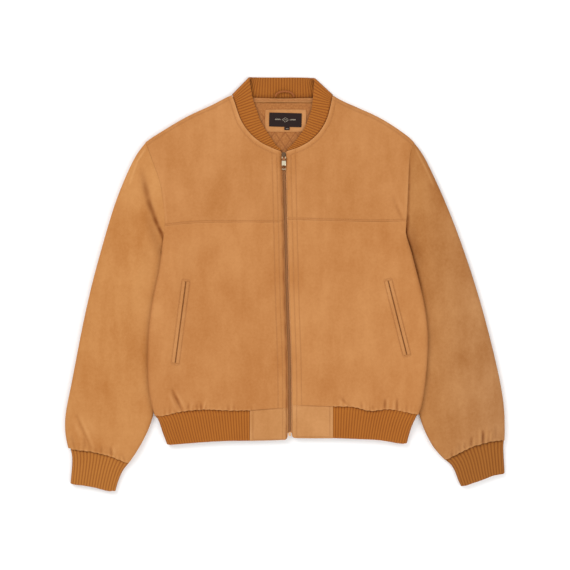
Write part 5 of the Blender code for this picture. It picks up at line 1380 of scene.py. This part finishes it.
# %% [markdown]
# ## Lining, label, loop and welts
# Inside the neck show a quilted satin lining, a facing tape, a suede patch with a woven
# label and a hanger loop. At each pocket two narrow welts meet along the slit. The copies
# are rounded like the panels, and a welt stores its distance from the slit, where painted
# shade darkens the suede.

# %% Round and finish the inner parts
inner_parts = {
    "back_lining": quilted_satin, "neck_tape": tape_satin, "label_patch": trim_suede,
    "label": label_weave, "size_tab": label_weave, "hanger_loop": cord_cloth,
    "pocket_right_outer_welt": welt_suede, "pocket_right_inner_welt": welt_suede,
    "pocket_left_outer_welt": welt_suede, "pocket_left_inner_welt": welt_suede,
}
for name, material in inner_parts.items():
    smooth_copy(name, "trim_" + name, material)
    if material is welt_suede:
        slit = Line(POCKET["right" if "right" in name else "left"])
        store(pieces[name], "slit_mm", distance_to(slit, points_of(pieces[name])[:, :2]))
    print(name, len(pieces[name].data.polygons), "faces")

# %% [markdown]
# ## Puffs and piping
# Between its stitch lines the lining puffs up, except where the patch holds it down. The
# tape is raised below, and a thin round cord of suede covers each of its long edges.

# %% Puff the lining
LINING_TOP, PUFF, PATCH_EDGE = 6.5, 0.85, 6.0     # the patch holds down its surroundings
PATCH = (-37.5, 41.5, 292.0, 335.0)
lining = pieces["back_lining"]
points = points_of(lining)
slant_x = (points[:, 0] - QUILT_AT[0]) / (2 * QUILT_X)
slant_y = (points[:, 1] - QUILT_AT[1]) / (2 * QUILT_Y)
puff = np.abs(np.sin(math.pi * (slant_x + slant_y)) * np.sin(math.pi * (slant_x - slant_y)))
away = np.maximum(np.maximum(PATCH[0] - points[:, 0], points[:, 0] - PATCH[1]),
                  np.maximum(PATCH[2] - points[:, 1], points[:, 1] - PATCH[3]))
puff = np.sqrt(puff) * np.clip(away / PATCH_EDGE, 0.0, 1.0) * PUFF
points[:, 2] = np.where(points[:, 2] > LINING_TOP - 0.3, LINING_TOP + puff, points[:, 2])
set_points(lining, points)
print("lining top:", round(points[:, 2].max(), 2), "mm")

# %% Raise the tape and pipe its edges
def tube(name, path, radius, material):
    """A round cord along a path, in millimetres, turned into a mesh."""
    curve = bpy.data.curves.new(name, "CURVE")
    curve.dimensions = "3D"
    curve.bevel_depth, curve.bevel_resolution = radius * MM, 3
    curve.use_fill_caps = True
    spline = curve.splines.new("POLY")
    spline.points.add(len(path) - 1)
    for point, spot in zip(spline.points, path):
        point.co = (*(Vector(spot) * MM), 1.0)
    made = bpy.data.objects.new(name, curve)
    bpy.context.scene.collection.objects.link(made)
    pick(made)
    bpy.ops.object.convert(target="MESH")
    bpy.ops.object.shade_smooth()
    made.data.materials.append(material)
    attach(made, "jacket")
    return made


TAPE_HIGH, TAPE_RAISED, NEAR, EDGE_IN = 9.4, 1.8, 3.0, 0.9
PIPING, EDGE = (7.6, 0.9), (7.2, 0.7)     # level and radius
tape = points_of(pieces["neck_tape"])
below = np.clip((tape[:, 1].max() - tape[:, 1]) / TAPE_HIGH, 0.0, 1.0)
tape[:, 1] += TAPE_RAISED * below
set_points(pieces["neck_tape"], tape)
spots = np.linspace(tape[:, 0].min() + 1, tape[:, 0].max() - 1, 30)
near = [tape[np.abs(tape[:, 0] - x) < NEAR, 1] for x in spots]
lower = [(x, ys.min(), PIPING[0]) for x, ys in zip(spots, near)]
upper = [(x, ys.max() - EDGE_IN, EDGE[0]) for x, ys in zip(spots, near)]
piping = tube("neck_piping", lower, PIPING[1], trim_suede)
edge = tube("neck_edge", upper, EDGE[1], trim_suede)
print("piping:", len(piping.data.polygons), "faces")

# %% [markdown]
# ## The zip
# A metal zip is two rows of teeth, clamped on woven tapes, each tooth gripping between
# two of the other row. One tooth is modelled and copied at an even pitch, the second row
# half a pitch further.

# %% Clamp the teeth on
TOOTH_PITCH, TOOTH_LONG, TOOTH_WIDE = 2.1, 3.7, 1.15
TOOTH_TIP, TOOTH_ROUND, TOOTH_PAST = (1.0, 0.78, 0.72), 0.28, 1.0
CHAIN_LOW, CHAIN_HIGH = 9.0, 11.2
CHAIN_Y = (-283.0, 238.5)


def repeated(name, template, places):
    """One mesh made of a template copied to (origin, x axis, y axis, z axis) places."""
    points = points_of(template)
    faces = [tuple(face.vertices) for face in template.data.polygons]
    stacked, joined = [], []
    for count, (origin, *axes) in enumerate(places):
        stacked.append(points @ np.array(axes) + np.array(origin))
        joined += [tuple(index + count * len(points) for index in face) for face in faces]
    mesh = bpy.data.meshes.new(name)
    mesh.from_pydata([tuple(p) for p in np.vstack(stacked) * MM], [], joined)
    mesh.update()
    made = bpy.data.objects.new(name, mesh)
    bpy.context.scene.collection.objects.link(made)
    bpy.data.objects.remove(template)
    return made


def tooth():
    """A zip tooth: a rounded bar with a raised head at one end."""
    bpy.ops.mesh.primitive_cube_add(size=MM, location=(0.0, 0.0, 0.0))
    made = bpy.context.object
    bpy.ops.object.mode_set(mode="EDIT")
    bpy.ops.transform.resize(value=(TOOTH_LONG, TOOTH_WIDE, CHAIN_HIGH - CHAIN_LOW))
    mesh = bmesh.from_edit_mesh(made.data)
    for face in mesh.faces:
        face.select_set(face.normal.x < -0.5)
    bmesh.update_edit_mesh(made.data)
    bpy.ops.transform.resize(value=TOOTH_TIP)
    bpy.ops.mesh.select_all(action="SELECT")
    bpy.ops.mesh.bevel(offset=TOOTH_ROUND * MM, segments=1)
    bpy.ops.object.mode_set(mode="OBJECT")
    return made


def zip_places(side):
    """Where the teeth of one row stand."""
    shift = 0.0 if side < 0 else TOOTH_PITCH / 2
    middle = (CHAIN_LOW + CHAIN_HIGH) / 2
    for y in np.arange(CHAIN_Y[0] + shift, CHAIN_Y[1], TOOTH_PITCH):
        x = zip_line.x_at(y) + side * (TOOTH_LONG / 2 - TOOTH_PAST)
        yield (x, y, middle), (side, 0, 0), (0, side, 0), (0, 0, 1)


teeth = repeated("zip_teeth", tooth(), [*zip_places(-1), *zip_places(1)])
dress(teeth, tooth_metal, "zip_chain")
print("teeth:", len(teeth.data.polygons), "faces")

# %% [markdown]
# ## Tapes, box, tab and slider
# The woven tapes end a little above the hem's edge, where a small box takes the zip's
# end. The pull tab is a stamped plate with a window. The plate is made a little narrower
# and the window a little larger, and a Bevel rounds their edges. The slider keeps its
# shape and only gets its metal.

# %% Copy the tapes, the tab and the box
TAPE_END, BOX_NARROW = -285.5, 0.6
EYE_Y, PLATE_Y, PLATE_INSIDE, PLATE_NARROW = 241.6, 241.0, 2.35, 0.84
WINDOW_Y, WINDOW_REACH, WINDOW_WIDER = 224.0, (3.0, 3.6), (1.28, 1.05)
RIM, RIM_ANGLE = 0.22, 0.8
for side in SIGN:
    name = "zip_tape_" + side
    smooth_copy(name, "woven_" + name, zip_weaves[side], 1)
    points = points_of(pieces[name])
    points[:, 1] = np.maximum(points[:, 1], TAPE_END)
    set_points(pieces[name], points)
smooth_copy("zip_box", "fine_zip_box", box_metal, crease=0.9)
points = points_of(pieces["zip_box"])
middle = points[:, 0].mean()
points[:, 0] = middle + BOX_NARROW * (points[:, 0] - middle)
set_points(pieces["zip_box"], points)

tab = copy_of("zip_pull_tab", "fine_pull_tab", pair=0.0)
points = points_of(tab)
middle = np.array([zip_line.x_at(EYE_Y), WINDOW_Y])
plate = (np.abs(points[:, 0] - middle[0]) > PLATE_INSIDE) & (points[:, 1] < PLATE_Y)
points[plate, 0] = middle[0] + PLATE_NARROW * (points[plate, 0] - middle[0])
offset = points[:, :2] - middle
near = (np.abs(offset) < WINDOW_REACH).all(1)
points[near, :2] = middle + WINDOW_WIDER * offset[near]
set_points(tab, points)
pick(tab)
bpy.ops.object.shade_smooth_by_angle(angle=math.radians(50))
rim = tab.modifiers.new("rim", "BEVEL")
rim.width, rim.segments = RIM * MM, 2
rim.limit_method, rim.angle_limit = "ANGLE", RIM_ANGLE
rim.harden_normals = True
bpy.ops.object.modifier_apply(modifier=rim.name)
dress(tab, brass, "zip_pull_tab", "pull_tab")
slider = node["zip_slider"]
slider.data.materials.clear()
slider.data.materials.append(slider_metal)
print("window points moved:", int(near.sum()), "tab faces:", len(tab.data.polygons))

# %% [markdown]
# ## Stitching
# The topstitching is one short bead of thread after another, sunk to half its height. A
# bead is modelled once. The lines are walked at the stitch pitch, and a ray from above
# finds the suede's height under each stitch.

# %% Walk the lines of stitching
STITCH_LONG, STITCH_WIDE, STITCH_HIGH, STITCH_PITCH = 2.5, 0.62, 0.4, 3.3


def beside(line, gap):
    """A line moved sideways by a gap, to the left of its own way."""
    steps = np.gradient(line.points, axis=0)
    steps /= np.maximum(np.linalg.norm(steps, axis=1), 1e-9)[:, None]
    return line.points + gap * np.stack([-steps[:, 1], steps[:, 0]], axis=1)


def box_corners(side):
    """Outline of a pocket's stitched box."""
    top, bottom = (np.array(p) for p in POCKET[side])
    along = (top - bottom) / np.linalg.norm(top - bottom)
    across = np.array([along[1], -along[0]]) * BOX_HALF
    high, low = top + along * BOX_PAST, bottom - along * BOX_PAST
    return [high - across, high + across, low + across, low - across, high - across]


AT_NECK = 8.0
SEAMS = (  # seam, gap (minus: to its other side), first and last point
    (NECK_SEAM, -AT_NECK, 10, -6), (YOKE_SEAM, -AT_YOKE, 3, -3),
    (SHOULDER, AT_SHOULDER, 6, -6),
)
lines = []
for side, out in SIGN.items():
    lines.append(zip_side(side, AT_ZIP, -292.0, 243.0))
    lines.append(zip_side(side, AT_ZIP_FAR, -236.0, 240.0))
    for seam, gap, first, last in SEAMS:
        lines.append(beside(Line(seam[side]), gap * out)[first:last])
    lines.append(box_corners(side))


def inset_box(low_x, high_x, low_y, high_y, inset):
    """Corners of a rectangle, moved in."""
    x0, x1, y0, y1 = low_x + inset, high_x - inset, low_y + inset, high_y - inset
    return [(x0, y0), (x1, y0), (x1, y1), (x0, y1), (x0, y0)]


PATCH_INSET = 2.2
patch_line = inset_box(*PATCH, PATCH_INSET)
TAB_MIDDLE, TAB_INSET, FREE_IN, KNIT_IN = -265.0, 3.0, 9.0, 5.8
tab_lines = []
for side, out in SIGN.items():
    heights = points_of(pieces["hem_tab_" + side])[:, 1]
    free_x = zip_line.x_at(TAB_MIDDLE) + out * (ZIP_GAP + FREE_IN)
    knit_x = TAB_X[side] - out * KNIT_IN
    low_x, high_x = min(free_x, knit_x) - TAB_INSET, max(free_x, knit_x) + TAB_INSET
    tab_lines.append(inset_box(low_x, high_x, heights.min(), heights.max(), TAB_INSET))
print("lines:", len(lines) + 1 + len(tab_lines))

# %% Sew them
RAY_FROM, STEEP = 0.06, 1.5               # no stitch spans a step higher than this


def surface_over(names):
    """A tree of the finished pieces, to find heights with rays."""
    corners, faces = [], []
    for name in names:
        mesh = pieces[name].data
        start = len(corners)
        corners += [vertex.co.copy() for vertex in mesh.vertices]
        faces += [[start + index for index in face.vertices] for face in mesh.polygons]
    return BVHTree.FromPolygons(corners, faces)


def stitch_places(points, tree, pitch=STITCH_PITCH):
    """A place for each stitch along a line of plan points."""
    points = np.array(points)
    gaps = np.linalg.norm(np.diff(points, axis=0), axis=1)
    run = np.concatenate([[0.0], np.cumsum(gaps)])
    for step in np.arange(pitch / 2, run[-1] - pitch / 3, pitch):
        ends = [np.array([np.interp(step + k, run, axis) for axis in points.T])
                for k in (-STITCH_LONG / 2, STITCH_LONG / 2)]
        hits = [tree.ray_cast(Vector((*(end * MM), RAY_FROM)), Vector((0, 0, -1)))[0]
                for end in ends]
        if None in hits or abs(hits[0].z - hits[1].z) > STEEP * MM:
            continue
        first, last = (np.array(hit) / MM for hit in hits)
        along = (last - first) / np.linalg.norm(last - first)
        side = np.cross([0.0, 0.0, 1.0], along)
        side /= np.linalg.norm(side)
        yield (first + last) / 2, side, along, np.cross(side, along)


def bead():
    """One stitch: a bead of thread, its width, length and height set."""
    bpy.ops.mesh.primitive_uv_sphere_add(segments=6, ring_count=5, radius=MM / 2)
    made = bpy.context.object
    made.scale = (STITCH_WIDE, STITCH_HIGH, STITCH_LONG)
    made.rotation_euler = (-math.pi / 2, 0.0, 0.0)
    bpy.ops.object.transform_apply(location=True, rotation=True, scale=True)
    return made


def sew(name, lines, surface, material, pitch=STITCH_PITCH):
    """Stitches along lines on a surface, as one mesh."""
    places = [place for line in lines for place in stitch_places(line, surface, pitch)]
    made = repeated(name, bead(), places)
    made.data.materials.append(material)
    pick(made)
    bpy.ops.object.shade_smooth()
    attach(made, "jacket")
    print(name, len(places), "stitches")
    return made


tab_top = surface_over(["hem_tab_right", "hem_tab_left"])
suede_top = surface_over(["front_right", "front_left", "front_yoke_right",
                          "front_yoke_left", "hem_tab_right", "hem_tab_left"])
stitching = sew("topstitching", lines, suede_top, thread)
tab_stitching = sew("tab_stitching", tab_lines, tab_top, thread)
patch_seam = sew("patch_stitching", [patch_line], surface_over(["label_patch"]), thread)

# %% [markdown]
# ## The woven ornament
# The label carries a plain ornament, a lozenge between two bars, in pale satin stitch,
# and the size tab one short bar.

# %% Weave the ornament
LABEL_MIDDLE, LABEL_LEAN = np.array((1.4, 314.9)), math.radians(-1.5)
SIZE_BAR, SATIN_PITCH = [(2.2, 298.2), (7.4, 298.0)], 1.6


def on_label(x, y):
    """A place on the label, whose middle is 0, 0 and which leans a little."""
    c, s = math.cos(LABEL_LEAN), math.sin(LABEL_LEAN)
    return tuple(LABEL_MIDDLE + np.array((c * x - s * y, s * x + c * y)))


ornament = [[on_label(x, y) for x, y in row] for row in (
    ((-20, 0), (-8, 0)), ((8, 0), (20, 0)), ((-20, 1.2), (-10, 1.2)),
    ((10, 1.2), (20, 1.2)), ((-6, 0), (0, 4.5)), ((0, 4.5), (6, 0)), ((6, 0), (0, -4.5)),
    ((0, -4.5), (-6, 0)), ((-2.4, 0), (2.4, 0)))]
ornament.append(SIZE_BAR)
label_top = surface_over(["label", "size_tab"])
label_pattern = sew("label_ornament", ornament, label_top, pale_thread, SATIN_PITCH)

# %% [markdown]
# ## Open sleeves
# A sleeve is a tube of cloth. Its copy is closed at the armhole by faces that nobody
# sees, pressed against the body. Without them the piece is the shell it should be.

# %% Open the sleeves at the armhole
ARMHOLE = {  # underarm to shoulder point
    "right": ((-231.6, 92.7), (-229.5, 112.0), (-229.2, 129.4), (-233.1, 163.2),
              (-239.0, 195.8), (-250.6, 228.5), (-262.0, 260.0)),
    "left": ((230.8, 97.9), (232.9, 121.0), (234.6, 140.2), (236.5, 188.2),
             (239.6, 246.7), (243.8, 261.0)),
}
ARMHOLE_REACH, UPRIGHT = 1.2, 0.25
for side in SIGN:
    piece, armhole = pieces["sleeve_" + side], Line(ARMHOLE[side])
    mesh = bmesh.new()
    mesh.from_mesh(piece.data)
    centres = np.array([tuple(face.calc_center_median())[:2] for face in mesh.faces]) / MM
    close = distance_to(armhole, centres) < ARMHOLE_REACH
    hidden = [face for face, near in zip(mesh.faces, close)
              if near and abs(face.normal.z) < UPRIGHT]
    bmesh.ops.delete(mesh, geom=hidden, context="FACES")
    mesh.to_mesh(piece.data)
    mesh.free()
    print(piece.name, "opened by", len(hidden), "faces")

# %% [markdown]
# ## What each cloth is cut from
# A table lists the flat size each cloth piece was cut to. For a tube, such as a sleeve or a
# cuff, the width goes all round. The area is the cut's own where it isn't a rectangle.

# %% List the cuts
CUTS = {  # piece: width, length, area in metres, material slot
    "front_right": (0.270, 0.372, 0.092, "suede"),
    "front_left": (0.270, 0.375, 0.091, "suede"),
    "front_yoke_right": (0.264, 0.251, 0.047, "suede"),
    "front_yoke_left": (0.246, 0.242, 0.045, "suede"),
    "back_panel": (0.542, 0.612, 0.288, "suede"),
    "sleeve_right": (0.520, 0.630, 0.290, "suede"),
    "sleeve_left": (0.500, 0.620, 0.265, "suede"),
    "hem_tab_right": (0.074, 0.064, 0.0045, "suede"),
    "hem_tab_left": (0.080, 0.064, 0.0050, "suede"),
    "cuff_right": (0.215, 0.082, 0.0150, "rib_knit"),
    "cuff_left": (0.215, 0.088, 0.0152, "rib_knit"),
    "hem_rib": (0.900, 0.070, 0.0575, "rib_knit"),
    "collar_rib": (0.430, 0.045, 0.0175, "rib_knit"),
    "back_lining": (0.130, 0.119, 0.0154, "lining"),
    "neck_tape": (0.122, 0.010, 0.00105, "lining"),
    "label_patch": (0.079, 0.043, 0.0033, "suede"),
    "label": (0.063, 0.028, 0.0017, "label_black"),
    "pocket_right_outer_welt": (0.158, 0.010, 0.00112, "suede"),
    "pocket_right_inner_welt": (0.158, 0.010, 0.00112, "suede"),
    "pocket_left_outer_welt": (0.146, 0.010, 0.00106, "suede"),
    "pocket_left_inner_welt": (0.146, 0.010, 0.00106, "suede"),
    "zip_tape_right": (0.010, 0.540, 0.0053, "zip_tape"),
    "zip_tape_left": (0.010, 0.540, 0.0053, "zip_tape"),
}
CARRIED = {  # what is sewn on a piece
    "neck_tape": [pieces["hanger_loop"], piping, edge],
    "label": [pieces["size_tab"], label_pattern], "label_patch": [patch_seam],
}
for name, (width, length, area, slot) in CUTS.items():
    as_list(CARRIED.get(name, []))
print("declared:", len(CUTS), "cloth pieces")
